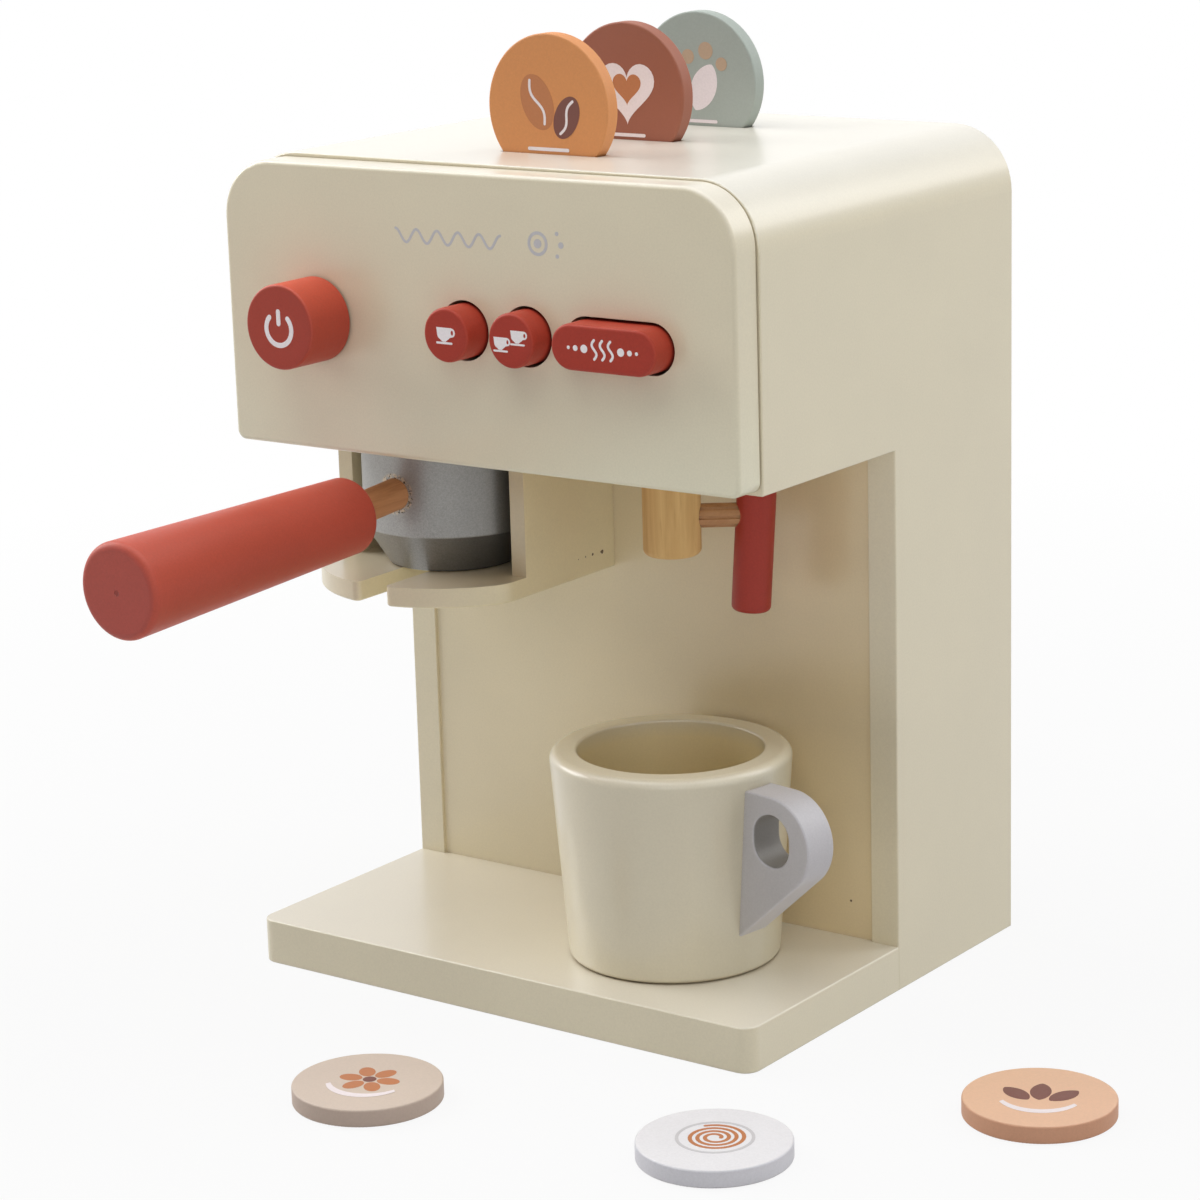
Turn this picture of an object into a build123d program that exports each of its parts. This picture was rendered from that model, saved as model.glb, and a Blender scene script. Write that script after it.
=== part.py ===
from build123d import *
from math import asin, atan2, cos, degrees, hypot, pi, radians, sin, sqrt
import os

# Toy coffee maker of painted boards and turned wood. Millimetres, +Z up, -Y to the front.
# The origin is the centre of the housing's footprint, on the surface that it stands on.

# ---- driving dimensions: housing ----
body_width = 180.0
body_depth = 146.6
body_height = 247.9
base_thickness = 13.6
side_thickness = 9.3
top_thickness = 21.7
top_corner_radius = 19.0
column_share = 0.4584          # of the depth, taken by the column
head_clearance_share = 0.6023  # of the height, from the base board up to the underside of the head
head_floor_thickness = 9.3
edge_ease = 0.5                # small round on every outer board edge
base_corner_radius = 5.0

# front panel: a board a little smaller than the head, planted on its front
panel_thickness = 10.5
panel_setback = 0.9            # behind the front edge of the base board
panel_side_margin = 0.6
panel_top_margin = 1.0
panel_bottom_margin = 0.7
panel_top_radius = 17.2
panel_bottom_radius = 3.0
panel_edge = 1.3               # round on its front edges
panel_joint_width = 0.5        # of the shadow joint round its back edge
panel_joint_depth = 1.6
panel_offset = -0.25           # along X, of its middle from the middle of the housing
panel_turn = 0.2               # degrees out of square, as it is glued: its +X end higher

# panels that close the column
recess_setback = 1.0           # behind the front edges of the side panels
recess_thickness = 9.3
back_thickness = 8.0
cleat_size = 12.0
cleat_end_gap = 6.0
back_screw_rows = 3
back_screw_end_margin = 24.0

# board that carries the springs, behind the buttons
spring_board_thickness = 9.3
spring_board_top_gap = 8.0     # under the top board
spring_board_washer_gap = 1.5  # in front of the washer of the wand's pivot screw

# ---- fits ----
running_clearance = 0.06       # a shaft that turns or slides in its bore
glue_clearance = 0.05          # a glued dowel in its hole
moving_gap = 0.3               # between faces of pieces that move past each other
seat_gap = 0.15                # under a loose piece that rests on another

# ---- hidden assembly dowels ----
dowel_diameter = 5.0
dowel_depth_in_face = 5.5
dowel_depth_in_edge = 14.0
dowel_end_room = 0.5
dowel_inset = 15.0             # from the ends of a joint to its outer dowels

# ---- knob ----
knob_side_inset = 25.2         # from the inner face of the side panel
knob_rise_share = 0.46         # of the head's height
knob_radius = 12.3
knob_height = 17.2
knob_edge = 0.8
axle_diameter = 8.0
axle_depth_in_knob = 11.0
retainer_radius = 10.0
retainer_thickness = 5.0
small_screw_diameter = 3.0
small_screw_length = 12.0
screw_cross_length = 1.3       # of the crossed recess, in radii of the head
screw_cross_width = 0.4        # in radii of the shank
screw_cross_depth = 0.6

# ---- push buttons ----
button_rise_share = 0.467      # of the head's height
long_button_side_inset = 29.7  # from the inner face of the side panel
double_button_spacing = 31.3   # from the long button
single_button_spacing = 21.9   # from the double-cup button
single_button_proud = 8.7
double_button_proud = 7.7
long_button_proud = 7.9
round_button_radius = 7.7
long_button_width = 34.8
long_button_height = 12.8
button_hole_clearance = 0.9
button_edge = 0.9
flange_margin = 2.3            # how far a flange reaches past its button all round
flange_thickness = 4.0
stem_diameter = 5.0
stem_depth_in_button = 8.0
long_button_stem_spacing = 16.0
stem_guide_reserve = 1.5       # stem left in front of its guide's back face at rest
spring_wire_diameter = 0.8
spring_coil_radius = 4.0
spring_turns = 6

# ---- portafilter and the fork that it slides into ----
brew_reach = 34.2              # from the recess panel forward to the brewing axes
holder_side_gap = 0.2          # between the fork and the inner face of the side panel
holder_width = 70.2
holder_plate_thickness = 6.0
holder_front_radius = 40.0     # of the round front, about the brewing axis
holder_corner_radius = 12.0    # where the round front meets the straight sides
holder_wall_thickness = 5.2
holder_wall_front_reach = 10.2 # from the brewing axis forward to the front edges of the walls
holder_wall_height = 39.9
holder_slot_width = 9.9
holder_slot_corner = 2.0
holder_edge = 0.8              # round under the fork; its top is square, flush with its walls
brad_diameter = 1.4
brad_length = 20.0
brad_inset = 8.0
cup_radius = 26.6
cup_foot_radius = 19.3
cup_chamfer_height = 11.8
cup_height = 36.9
cup_edge = 0.8
cup_bowl_radius = 17.5
cup_bowl_depth = 22.0
neck_height = 24.5             # above the holder plate, where the neck leaves the cup
neck_droop = 4.3               # degrees, down towards the grip
grip_height = 22.5             # of the grip's axis above the holder plate, at its cup end
grip_droop = 1.1
grip_length = 97.2
grip_rear_radius = 11.35
grip_front_radius = 13.9
grip_edge = 2.2
neck_length = 21.1             # bare dowel between the cup and the grip
neck_diameter = 9.5
neck_depth_in_cup = 7.5
neck_depth_in_grip = 28.0

# ---- steam wand ----
wand_side_inset = 45.5         # from the inner face of the side panel
wand_stub_radius = 8.45
wand_stub_length = 29.3
wand_stub_edge = 2.0
wand_turn = 36.0               # degrees from +X towards the back, as it stands at rest
wand_arm_height = 11.2         # of the cross dowel above the lower end of the stub
wand_arm_diameter = 7.0
wand_arm_flutes = 8
wand_flute_radius = 0.55
wand_arm_reach = 24.1          # between the stub's axis and the rod's axis
wand_arm_depth_in_stub = 6.0
wand_arm_depth_in_rod = 4.0
wand_rod_radius = 5.75
wand_rod_edge = 1.6
wand_rod_above_arm = 10.6
wand_rod_below_arm = 28.5
wand_rod_lean = 3.6            # degrees, with its lower end towards the stub
pivot_screw_diameter = 4.0
pivot_screw_length = 24.0
pivot_washer_radius = 6.0
pivot_washer_thickness = 1.0

# ---- mug ----
mug_side_inset = 46.4          # from the inner face of the side panel to its axis
mug_back_gap = 0.5             # between its rim and the recess panel
mug_height = 62.4
mug_rim_radius = 35.7
mug_foot_radius = 31.1
mug_wall = 8.2
mug_floor = 9.0
mug_edge = 1.6
mug_rim_edge = 2.8             # round on the outside of its rim
mug_mouth_edge = 0.9           # and on the inside
mug_handle_turn = -9.7         # degrees from +X
mug_handle_thickness = 11.0
mug_handle_tip = 12.6          # heights above the foot of the mug
mug_handle_arc_height = 42.7
mug_handle_arc_reach = 44.5
mug_handle_arc_radius = 14.3
mug_handle_edge = 0.7
mug_hole_width = 13.2
mug_hole_height = 15.5
mug_hole_reach = 44.6
mug_hole_middle = 43.9
handle_pin_diameter = 2.4
handle_pin_depth = 5.0
handle_pin_top_inset = 2.4
handle_pin_tip_inset = 9.0

# ---- tokens ----
token_radius = 21.0
token_thickness = 5.0
token_edge = 0.5
token_x = 2.0
token_slot_inset = 28.2        # from the front of the top board to the middle of the first slot
token_slot_spacing = 37.3
token_slot_depth = 8.2
token_slot_play = 0.3          # each side of a token
token_slot_end_play = 0.7
loose_token_places = {
    "token_beige": (9.2, -142.2),
    "token_white": (112.7, -124.6),
    "token_peach": (170.6, -54.1),
}
slotted_tokens = ["token_ochre", "token_brick", "token_sage"]

# how near an edge's middle lies to the place that picks it for rounding
near = 0.25

# ---- places worked out from the dimensions above ----
half_width = body_width / 2
front_y = -body_depth / 2
back_y = body_depth / 2
panel_front_y = front_y + panel_setback
shell_front_y = panel_front_y + panel_thickness
column_front_y = back_y - column_share * body_depth
recess_front_y = column_front_y + recess_setback
recess_back_y = recess_front_y + recess_thickness
inner_half_width = half_width - side_thickness
head_bottom_z = base_thickness + head_clearance_share * body_height
head_height = body_height - head_bottom_z
head_floor_top_z = head_bottom_z + head_floor_thickness
top_bottom_z = body_height - top_thickness
brew_y = recess_front_y - brew_reach
spring_board_back_y = brew_y - pivot_washer_radius - spring_board_washer_gap
spring_board_front_y = spring_board_back_y - spring_board_thickness
plate_top_z = head_bottom_z - holder_wall_height
plate_bottom_z = plate_top_z - holder_plate_thickness
side_middle_x = half_width - side_thickness / 2
knob_x = -inner_half_width + knob_side_inset
knob_z = head_bottom_z + knob_rise_share * head_height
button_z = head_bottom_z + button_rise_share * head_height
long_button_x = inner_half_width - long_button_side_inset
double_button_x = long_button_x - double_button_spacing
single_button_x = double_button_x - single_button_spacing
portafilter_x = -inner_half_width + holder_side_gap + holder_width / 2
wand_x = inner_half_width - wand_side_inset
mug_x = inner_half_width - mug_side_inset
mug_y = recess_front_y - mug_back_gap - mug_rim_radius
dowel_radius = dowel_diameter / 2


def block(low, high):
    """A box between two opposite corners."""
    size = [high[i] - low[i] for i in range(3)]
    middle = [(high[i] + low[i]) / 2 for i in range(3)]
    return Pos(*middle) * Box(*size)


def rod(start, direction, radius, length):
    """A round bar that starts at a point and runs along a direction."""
    plane = Plane(origin=start, z_dir=direction)
    return extrude(plane * Circle(radius), amount=length)


def turned(profile_points, centre_x, centre_y, bottom_z):
    """A solid of revolution about a vertical axis, from points of radius and height."""
    outline = Polyline(*[(r, 0, z) for r, z in profile_points], close=True)
    solid = revolve(make_face(outline), axis=Axis.Z)
    return Pos(centre_x, centre_y, bottom_z) * solid


def ease(solid, test, radius):
    """Round the edges of a solid that a test on the edge's middle point picks."""
    picked = [edge for edge in solid.edges() if test(edge.center(CenterOf.BOUNDING_BOX), edge)]
    return fillet(picked, radius)


def save(name, solids):
    """Write one node as STEP; a list is a group of separate solids."""
    shape = solids if not isinstance(solids, list) else Compound(children=list(solids))
    shape.label = name
    export_step(shape, f"parts/{name}.step")


def spread(low, high, count):
    """Evenly spaced places from low to high."""
    return [low + (high - low) * i / (count - 1) for i in range(count)]


# ---- hidden dowels that join the boards ----
def dowel_joint(face_point, into_edge, face_depth):
    """A dowel across a joint: its solid and the hole for both boards, through a point of the joint."""
    start = [face_point[i] - into_edge[i] * face_depth for i in range(3)]
    length = face_depth + dowel_depth_in_edge
    pin = rod(start, into_edge, dowel_radius, length)
    hole_start = [start[i] - into_edge[i] * dowel_end_room for i in range(3)]
    hole = rod(hole_start, into_edge, dowel_radius + glue_clearance, length + 2 * dowel_end_room)
    return pin, hole


def joint_rows():
    """Every dowel joint of the housing, by the name of its group."""
    groups = {}
    shoulder_z = top_bottom_z
    groups["top_board_dowels"] = [
        dowel_joint((side * side_middle_x, y, shoulder_z), (0, 0, -1), dowel_depth_in_edge / 2)
        for side in (-1, 1)
        for y in spread(shell_front_y + 2 * dowel_inset, back_y - dowel_inset, 3)
    ]
    groups["base_dowels"] = [
        dowel_joint((side * inner_half_width, y, base_thickness / 2), (-side, 0, 0), dowel_depth_in_face)
        for side in (-1, 1)
        for y in spread(column_front_y + dowel_inset, back_y - dowel_inset, 2)
    ]
    floor_middle_z = head_bottom_z + head_floor_thickness / 2
    groups["head_floor_dowels"] = [
        dowel_joint((side * inner_half_width, y, floor_middle_z), (-side, 0, 0), dowel_depth_in_face)
        for side in (-1, 1)
        for y in spread(shell_front_y + dowel_inset, column_front_y - dowel_inset, 2)
    ]
    groups["front_panel_dowels"] = [
        dowel_joint((side * side_middle_x, shell_front_y, z), (0, 1, 0), dowel_depth_in_face)
        for side in (-1, 1)
        for z in spread(head_bottom_z + dowel_inset, top_bottom_z - dowel_inset, 2)
    ]
    recess_middle_y = (recess_front_y + recess_back_y) / 2
    groups["recess_panel_dowels"] = [
        dowel_joint((side * inner_half_width, recess_middle_y, z), (-side, 0, 0), dowel_depth_in_face)
        for side in (-1, 1)
        for z in spread(base_thickness + dowel_inset, head_bottom_z - dowel_inset, 3)
    ]
    return groups


dowel_groups = joint_rows()
dowel_holes = [hole for group in dowel_groups.values() for _, hole in group]


def drilled(board):
    """A board with the holes of the dowels that cross it."""
    box = board.bounding_box()
    for hole in dowel_holes:
        reach = hole.bounding_box()
        apart_x = reach.min.X >= box.max.X or reach.max.X <= box.min.X
        apart_y = reach.min.Y >= box.max.Y or reach.max.Y <= box.min.Y
        apart_z = reach.min.Z >= box.max.Z or reach.max.Z <= box.min.Z
        if not (apart_x or apart_y or apart_z):
            board = board - hole
    return board


# ---- housing boards ----
def base_board():
    """One board: full width in front of the column, a narrower tongue between the side panels."""
    front = block((-half_width, front_y, 0), (half_width, column_front_y, base_thickness))
    front = ease(front, lambda c, e: abs(c.Y - front_y) < near and abs(c.Z - base_thickness / 2) < near
                 and abs(c.X) > half_width - near, base_corner_radius)
    front = ease(front, lambda c, e: c.Y < column_front_y - near
                 and abs(c.Z - base_thickness / 2) > base_thickness / 2 - near, edge_ease)
    tongue = block((-inner_half_width, column_front_y, 0), (inner_half_width, back_y, base_thickness))
    return drilled(front + tongue)


def side_panel(side):
    """A board shaped like an inverted L: the column below and the side of the head above."""
    outline = Polyline(
        (0, column_front_y, 0),
        (0, back_y, 0),
        (0, back_y, top_bottom_z),
        (0, shell_front_y, top_bottom_z),
        (0, shell_front_y, head_bottom_z),
        (0, column_front_y, head_bottom_z),
        close=True,
    )
    panel = extrude(make_face(outline), amount=side_thickness, dir=(side, 0, 0))
    panel = Pos(side * inner_half_width, 0, 0) * panel
    panel = ease(panel, lambda c, e: abs(abs(c.X) - half_width) < near and c.Z < top_bottom_z - near,
                 edge_ease)
    panel = ease(panel, lambda c, e: abs(abs(c.X) - inner_half_width) < near
                 and abs(c.Y - column_front_y) < near and c.Z > near, edge_ease / 2)
    return drilled(panel)


def token_slot(y):
    """The cutter of one blind slot in the top board."""
    above = token_radius - token_slot_depth + seat_gap
    half_chord = sqrt(token_radius ** 2 - above ** 2) + token_slot_end_play
    half_gap = token_thickness / 2 + token_slot_play
    low = (token_x - half_chord, y - half_gap, body_height - token_slot_depth)
    high = (token_x + half_chord, y + half_gap, body_height + token_slot_depth)
    return block(low, high)


def token_slot_y(index):
    return shell_front_y + token_slot_inset + index * token_slot_spacing


def top_board():
    """The thick top board, with its two long upper edges rounded over and three slots for tokens."""
    board = block((-half_width, shell_front_y, top_bottom_z), (half_width, back_y, body_height))
    board = ease(board, lambda c, e: abs(c.Z - body_height) < near and abs(abs(c.X) - half_width) < near,
                 top_corner_radius)
    board = ease(board, lambda c, e: c.Z > top_bottom_z + near
                 and (abs(c.Y - shell_front_y) < near or abs(c.Y - back_y) < near), edge_ease)
    for index in range(len(slotted_tokens)):
        board = board - token_slot(token_slot_y(index))
    return drilled(board)


def head_floor():
    """The underside of the head, between the side panels and in front of the recess panel."""
    low = (-inner_half_width, shell_front_y, head_bottom_z)
    high = (inner_half_width, recess_front_y, head_floor_top_z)
    board = block(low, high)
    pivot_hole = rod((wand_x, brew_y, head_bottom_z), (0, 0, 1), pivot_screw_diameter / 2 + running_clearance,
                     head_floor_thickness)
    board = board - pivot_hole
    for brad in brad_places():
        board = board - brad_hole(brad)
    return drilled(board)


def recess_panel():
    """The upright board behind the brewing bay."""
    low = (-inner_half_width, recess_front_y, base_thickness)
    high = (inner_half_width, recess_back_y, head_floor_top_z)
    return drilled(block(low, high))


def back_cleat(side):
    """A square strip glued inside a side panel, which the back panel is screwed to."""
    outer = side * inner_half_width
    inner = side * (inner_half_width - cleat_size)
    low = (min(outer, inner), back_y - back_thickness - cleat_size, base_thickness + cleat_end_gap)
    high = (max(outer, inner), back_y - back_thickness, top_bottom_z - cleat_end_gap)
    strip = block(low, high)
    for place in back_screw_places():
        strip = strip - back_screw_hole(place)
    return drilled(strip)


def back_screw_length():
    return back_thickness + cleat_size - 2 * edge_ease


def back_screw_hole(place):
    return screw_hole(place, (0, -1, 0), small_screw_diameter, back_screw_length())


def back_screw_places():
    """The middles of the screw heads on the back panel, in two columns over the cleats."""
    column_x = inner_half_width - cleat_size / 2
    low_z = base_thickness + back_screw_end_margin
    high_z = top_bottom_z - back_screw_end_margin
    rows = spread(low_z, high_z, back_screw_rows)
    return [(side * column_x, back_y, z) for side in (-1, 1) for z in rows]


def back_panel():
    """The board that closes the back, screwed to the two cleats."""
    low = (-inner_half_width, back_y - back_thickness, base_thickness)
    high = (inner_half_width, back_y, top_bottom_z)
    board = block(low, high)
    for place in back_screw_places():
        board = board - back_screw_hole(place)
    return board


def spring_board():
    """The upright board behind the buttons: the springs press on it and the stems slide in it."""
    low = (-inner_half_width, spring_board_front_y, head_floor_top_z)
    high = (inner_half_width, spring_board_back_y, top_bottom_z - spring_board_top_gap)
    board = block(low, high)
    guide_radius = stem_diameter / 2 + running_clearance
    for stem_x in all_stem_places():
        guide_start = (stem_x, spring_board_front_y, button_z)
        board = board - rod(guide_start, (0, 1, 0), guide_radius, spring_board_thickness)
    return board


# ---- screws ----
def screw(head_point, direction, diameter, length):
    """A countersunk wood screw with a crossed recess; head_point is the middle of its flat head."""
    radius = diameter / 2
    head_radius = diameter
    tip_length = diameter
    profile = Polyline((0, 0, 0), (head_radius, 0, 0), (radius, 0, radius), (radius, 0, length - tip_length),
                       (0, 0, length), close=True)
    body = revolve(make_face(profile), axis=Axis.Z)
    bar = Box(head_radius * screw_cross_length, radius * screw_cross_width, 2 * radius * screw_cross_depth)
    body = body - bar - Rot(0, 0, 90) * bar
    return Plane(origin=head_point, z_dir=direction).location * body


def screw_hole(head_point, direction, diameter, length):
    """The hole that the screw fills, with its countersink."""
    radius = diameter / 2 + glue_clearance
    head_radius = diameter + glue_clearance
    profile = Polyline((0, 0, 0), (head_radius, 0, 0), (radius, 0, head_radius - radius), (radius, 0, length),
                       (0, 0, length), close=True)
    body = revolve(make_face(profile), axis=Axis.Z)
    return Plane(origin=head_point, z_dir=direction).location * body


# ---- front panel and what turns or slides in it ----
def panel_joint(low, high):
    """The cutter of the step round the panel's back edge, which leaves a dark joint on the shell."""
    front_of_joint = shell_front_y - panel_joint_width
    around = block((low[0] - panel_edge, front_of_joint, low[2] - panel_edge),
                   (high[0] + panel_edge, shell_front_y, high[2] + panel_edge))
    middle_y = (front_of_joint + shell_front_y) / 2
    middle_z = (low[2] + high[2]) / 2
    kept = block((low[0] + panel_joint_depth, front_of_joint, low[2] + panel_joint_depth),
                 (high[0] - panel_joint_depth, shell_front_y, high[2] - panel_joint_depth))
    kept = ease(kept, lambda c, e: abs(c.Y - middle_y) < near and c.Z > middle_z,
                panel_top_radius - panel_joint_depth)
    kept = ease(kept, lambda c, e: abs(c.Y - middle_y) < near and c.Z < middle_z,
                panel_bottom_radius - panel_joint_depth)
    return around - kept


def front_panel():
    """The front board: top corners well rounded, with a bore for the knob and three button openings."""
    low = (-half_width + panel_side_margin, panel_front_y, head_bottom_z + panel_bottom_margin)
    high = (half_width - panel_side_margin, shell_front_y, body_height - panel_top_margin)
    board = block(low, high)
    middle_z = (low[2] + high[2]) / 2
    middle_y = (low[1] + high[1]) / 2
    board = ease(board, lambda c, e: abs(c.Y - middle_y) < near and c.Z > middle_z, panel_top_radius)
    board = ease(board, lambda c, e: abs(c.Y - middle_y) < near and c.Z < middle_z, panel_bottom_radius)
    board = ease(board, lambda c, e: abs(c.Y - panel_front_y) < near, panel_edge)
    board = board - panel_joint(low, high)
    middle = Pos(0, middle_y, middle_z)
    board = Pos(panel_offset, 0, 0) * middle * Rot(0, -panel_turn, 0) * middle.inverse() * board
    bore_radius = axle_diameter / 2 + running_clearance
    board = board - rod((knob_x, panel_front_y, knob_z), (0, 1, 0), bore_radius, panel_thickness)
    for name in buttons:
        outline = button_outline(name, button_hole_clearance)
        opening = extrude(Plane.XZ.offset(-shell_front_y) * outline, amount=panel_thickness)
        board = board - opening
    return drilled(board)


def knob():
    """The round knob, with a blind hole for its axle."""
    back = panel_front_y - moving_gap
    solid = rod((knob_x, back, knob_z), (0, -1, 0), knob_radius, knob_height)
    solid = ease(solid, lambda c, e: True, knob_edge)
    hole_depth = axle_depth_in_knob + dowel_end_room
    return solid - rod((knob_x, back, knob_z), (0, -1, 0), axle_diameter / 2 + glue_clearance, hole_depth)


def knob_axle():
    """The dowel glued in the knob, which turns in the front panel."""
    start = (knob_x, panel_front_y - moving_gap - axle_depth_in_knob, knob_z)
    length = axle_depth_in_knob + moving_gap + panel_thickness + moving_gap + retainer_thickness
    solid = rod(start, (0, 1, 0), axle_diameter / 2, length)
    return solid - screw_hole(knob_screw_head(), (0, -1, 0), small_screw_diameter, small_screw_length)


def knob_screw_head():
    return (knob_x, shell_front_y + moving_gap + retainer_thickness, knob_z)


def knob_retainer():
    """The disc behind the panel that keeps the knob from pulling out."""
    start = (knob_x, shell_front_y + moving_gap, knob_z)
    disc = rod(start, (0, 1, 0), retainer_radius, retainer_thickness)
    return disc - rod(start, (0, 1, 0), axle_diameter / 2 + glue_clearance, retainer_thickness)


def button_outline(name, margin):
    """The front outline of a button, wider by a margin all round."""
    width, height = buttons[name]["size"]
    if width == height:
        outline = Circle(width / 2 + margin)
    else:
        outline = SlotOverall(width + 2 * margin, height + 2 * margin)
    return Pos(buttons[name]["x"], button_z) * outline


round_size = (2 * round_button_radius, 2 * round_button_radius)
buttons = {
    "single_cup": {"x": single_button_x, "size": round_size, "proud": single_button_proud, "stems": [0]},
    "double_cup": {"x": double_button_x, "size": round_size, "proud": double_button_proud, "stems": [0]},
    "steam": {
        "x": long_button_x,
        "size": (long_button_width, long_button_height),
        "proud": long_button_proud,
        "stems": [-long_button_stem_spacing / 2, long_button_stem_spacing / 2],
    },
}
flange_front_y = shell_front_y + moving_gap
flange_back_y = flange_front_y + flange_thickness


def stem_places(name):
    return [buttons[name]["x"] + offset for offset in buttons[name]["stems"]]


def all_stem_places():
    return [x for name in buttons for x in stem_places(name)]


def button_cap(name):
    """The painted wooden button, from its face back to its flange."""
    depth = buttons[name]["proud"] + panel_thickness + moving_gap
    solid = extrude(Plane.XZ.offset(-flange_front_y) * button_outline(name, 0), amount=depth)
    face_y = flange_front_y - depth
    solid = ease(solid, lambda c, e: abs(c.Y - face_y) < button_edge / 4, button_edge)
    for x in stem_places(name):
        hole = rod((x, flange_front_y, button_z), (0, -1, 0), stem_diameter / 2 + glue_clearance,
                   stem_depth_in_button + dowel_end_room)
        solid = solid - hole
    return solid


def button_flange(name):
    """The thin board behind a button that stops it against the back of the front panel."""
    outline = button_outline(name, flange_margin)
    plate = extrude(Plane.XZ.offset(-flange_back_y) * outline, amount=flange_thickness)
    hole_radius = stem_diameter / 2 + glue_clearance
    for x in stem_places(name):
        plate = plate - rod((x, flange_front_y, button_z), (0, 1, 0), hole_radius, flange_thickness)
    return plate


def button_stems(name):
    """The dowel or dowels that guide a button in the spring board."""
    start_y = flange_front_y - stem_depth_in_button
    end_y = spring_board_back_y - stem_guide_reserve
    length = end_y - start_y
    return [rod((x, start_y, button_z), (0, 1, 0), stem_diameter / 2, length) for x in stem_places(name)]


def button_springs(name):
    """The compression spring round each stem, between the flange and the spring board."""
    wire = spring_wire_diameter / 2
    start_y = flange_back_y + wire + glue_clearance
    end_y = spring_board_front_y - wire - glue_clearance
    length = end_y - start_y
    springs = []
    for x in stem_places(name):
        path = Helix(pitch=length / spring_turns, height=length, radius=spring_coil_radius)
        section = Plane(origin=path @ 0, z_dir=path % 0) * Circle(wire)
        coil = sweep(section, path=path, is_frenet=True)
        springs.append(Plane(origin=(x, start_y, button_z), z_dir=(0, 1, 0)).location * coil)
    return springs


# ---- fork that holds the portafilter ----
def holder_plate():
    """A flat fork under the portafilter: a round front, a slot along its middle."""
    strip_length = holder_front_radius + recess_front_y - brew_y
    strip_middle_y = recess_front_y - strip_length / 2
    strip = Pos(portafilter_x, strip_middle_y) * Rectangle(holder_width, strip_length)
    behind = Pos(portafilter_x, brew_y + strip_length / 2) * Rectangle(holder_width, strip_length)
    outline = strip & (Pos(portafilter_x, brew_y) * Circle(holder_front_radius) + behind)
    slot = Pos(portafilter_x, brew_y - strip_length / 2) * Rectangle(holder_slot_width, strip_length)
    slot = slot + Pos(portafilter_x, brew_y) * Circle(holder_slot_width / 2)
    plate = Pos(0, 0, plate_bottom_z) * extrude(outline - slot, amount=holder_plate_thickness)
    middle_z = (plate_top_z + plate_bottom_z) / 2
    slot_front_y = brew_y - holder_front_radius + edge_ease
    plate = ease(plate, lambda c, e: abs(c.Z - middle_z) < near and c.Y < slot_front_y, holder_slot_corner)
    plate = ease(plate, lambda c, e: abs(c.Z - middle_z) < near and c.Y < brew_y
                 and abs(abs(c.X - portafilter_x) - holder_width / 2) < near, holder_corner_radius)
    free_y = recess_front_y - near
    plate = ease(plate, lambda c, e: abs(c.Z - plate_bottom_z) < near and c.Y < free_y, holder_edge)
    for place in brad_places():
        plate = plate - brad_hole(place)
    return plate


def holder_wall(side):
    """An upright board beside the portafilter, from the fork to the underside of the head."""
    outer = portafilter_x + side * holder_width / 2
    inner = outer - side * holder_wall_thickness
    low = (min(outer, inner), brew_y - holder_wall_front_reach, plate_top_z)
    high = (max(outer, inner), recess_front_y, head_bottom_z)
    wall = block(low, high)
    for place in brad_places():
        wall = wall - brad_hole(place)
    return wall


def brad_places():
    """Brads through the fork up into each wall, and down through the head floor into its top."""
    places = []
    for side in (-1, 1):
        x = portafilter_x + side * (holder_width - holder_wall_thickness) / 2
        for y in (brew_y, recess_front_y - brad_inset):
            places.append(((x, y, plate_bottom_z), (0, 0, 1)))
            places.append(((x, y, head_floor_top_z), (0, 0, -1)))
    return places


def brad_hole(place):
    return rod(place[0], place[1], brad_diameter / 2 + glue_clearance, brad_length)


# ---- portafilter ----
cup_bottom_z = plate_top_z + seat_gap
neck_start = (portafilter_x, brew_y - cup_radius, plate_top_z + neck_height)
neck_direction = (0, -cos(radians(neck_droop)), -sin(radians(neck_droop)))
grip_start = (portafilter_x, neck_start[1] - neck_length, plate_top_z + grip_height)
grip_direction = (0, -cos(radians(grip_droop)), -sin(radians(grip_droop)))


def neck_bar(radius, start_reach, end_reach):
    """A round bar on the neck's axis, between two distances from where it leaves the cup."""
    start = [neck_start[i] + neck_direction[i] * start_reach for i in range(3)]
    return rod(start, neck_direction, radius, end_reach - start_reach)


def portafilter_cup():
    """The turned cup: a steep chamfer at its foot and a bowl in its top."""
    floor = cup_height - cup_bowl_depth
    outline = [
        (0, 0),
        (cup_foot_radius, 0),
        (cup_radius, cup_chamfer_height),
        (cup_radius, cup_height),
        (cup_bowl_radius, cup_height),
        (cup_bowl_radius, floor),
        (0, floor),
    ]
    cup = turned(outline, portafilter_x, brew_y, cup_bottom_z)
    cup = ease(cup, lambda c, e: hypot(c.X - portafilter_x, c.Y - brew_y) < near, cup_edge)
    hole_radius = neck_diameter / 2 + glue_clearance
    return cup - neck_bar(hole_radius, -neck_depth_in_cup - dowel_end_room, neck_length / 2)


def portafilter_neck():
    """The bare dowel between the cup and the grip."""
    return neck_bar(neck_diameter / 2, -neck_depth_in_cup, neck_length + neck_depth_in_grip)


def portafilter_grip():
    """The turned grip, a little thicker towards its free end."""
    outline = Polyline((0, 0, 0), (grip_rear_radius, 0, 0), (grip_front_radius, 0, grip_length),
                       (0, 0, grip_length), close=True)
    grip = revolve(make_face(outline), axis=Axis.Z)
    grip = ease(grip, lambda c, e: hypot(c.X, c.Y) < near, grip_edge)
    grip = Plane(origin=grip_start, z_dir=grip_direction).location * grip
    return grip - neck_bar(neck_diameter / 2 + glue_clearance, neck_length / 2,
                           neck_length + neck_depth_in_grip + dowel_end_room)


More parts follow.
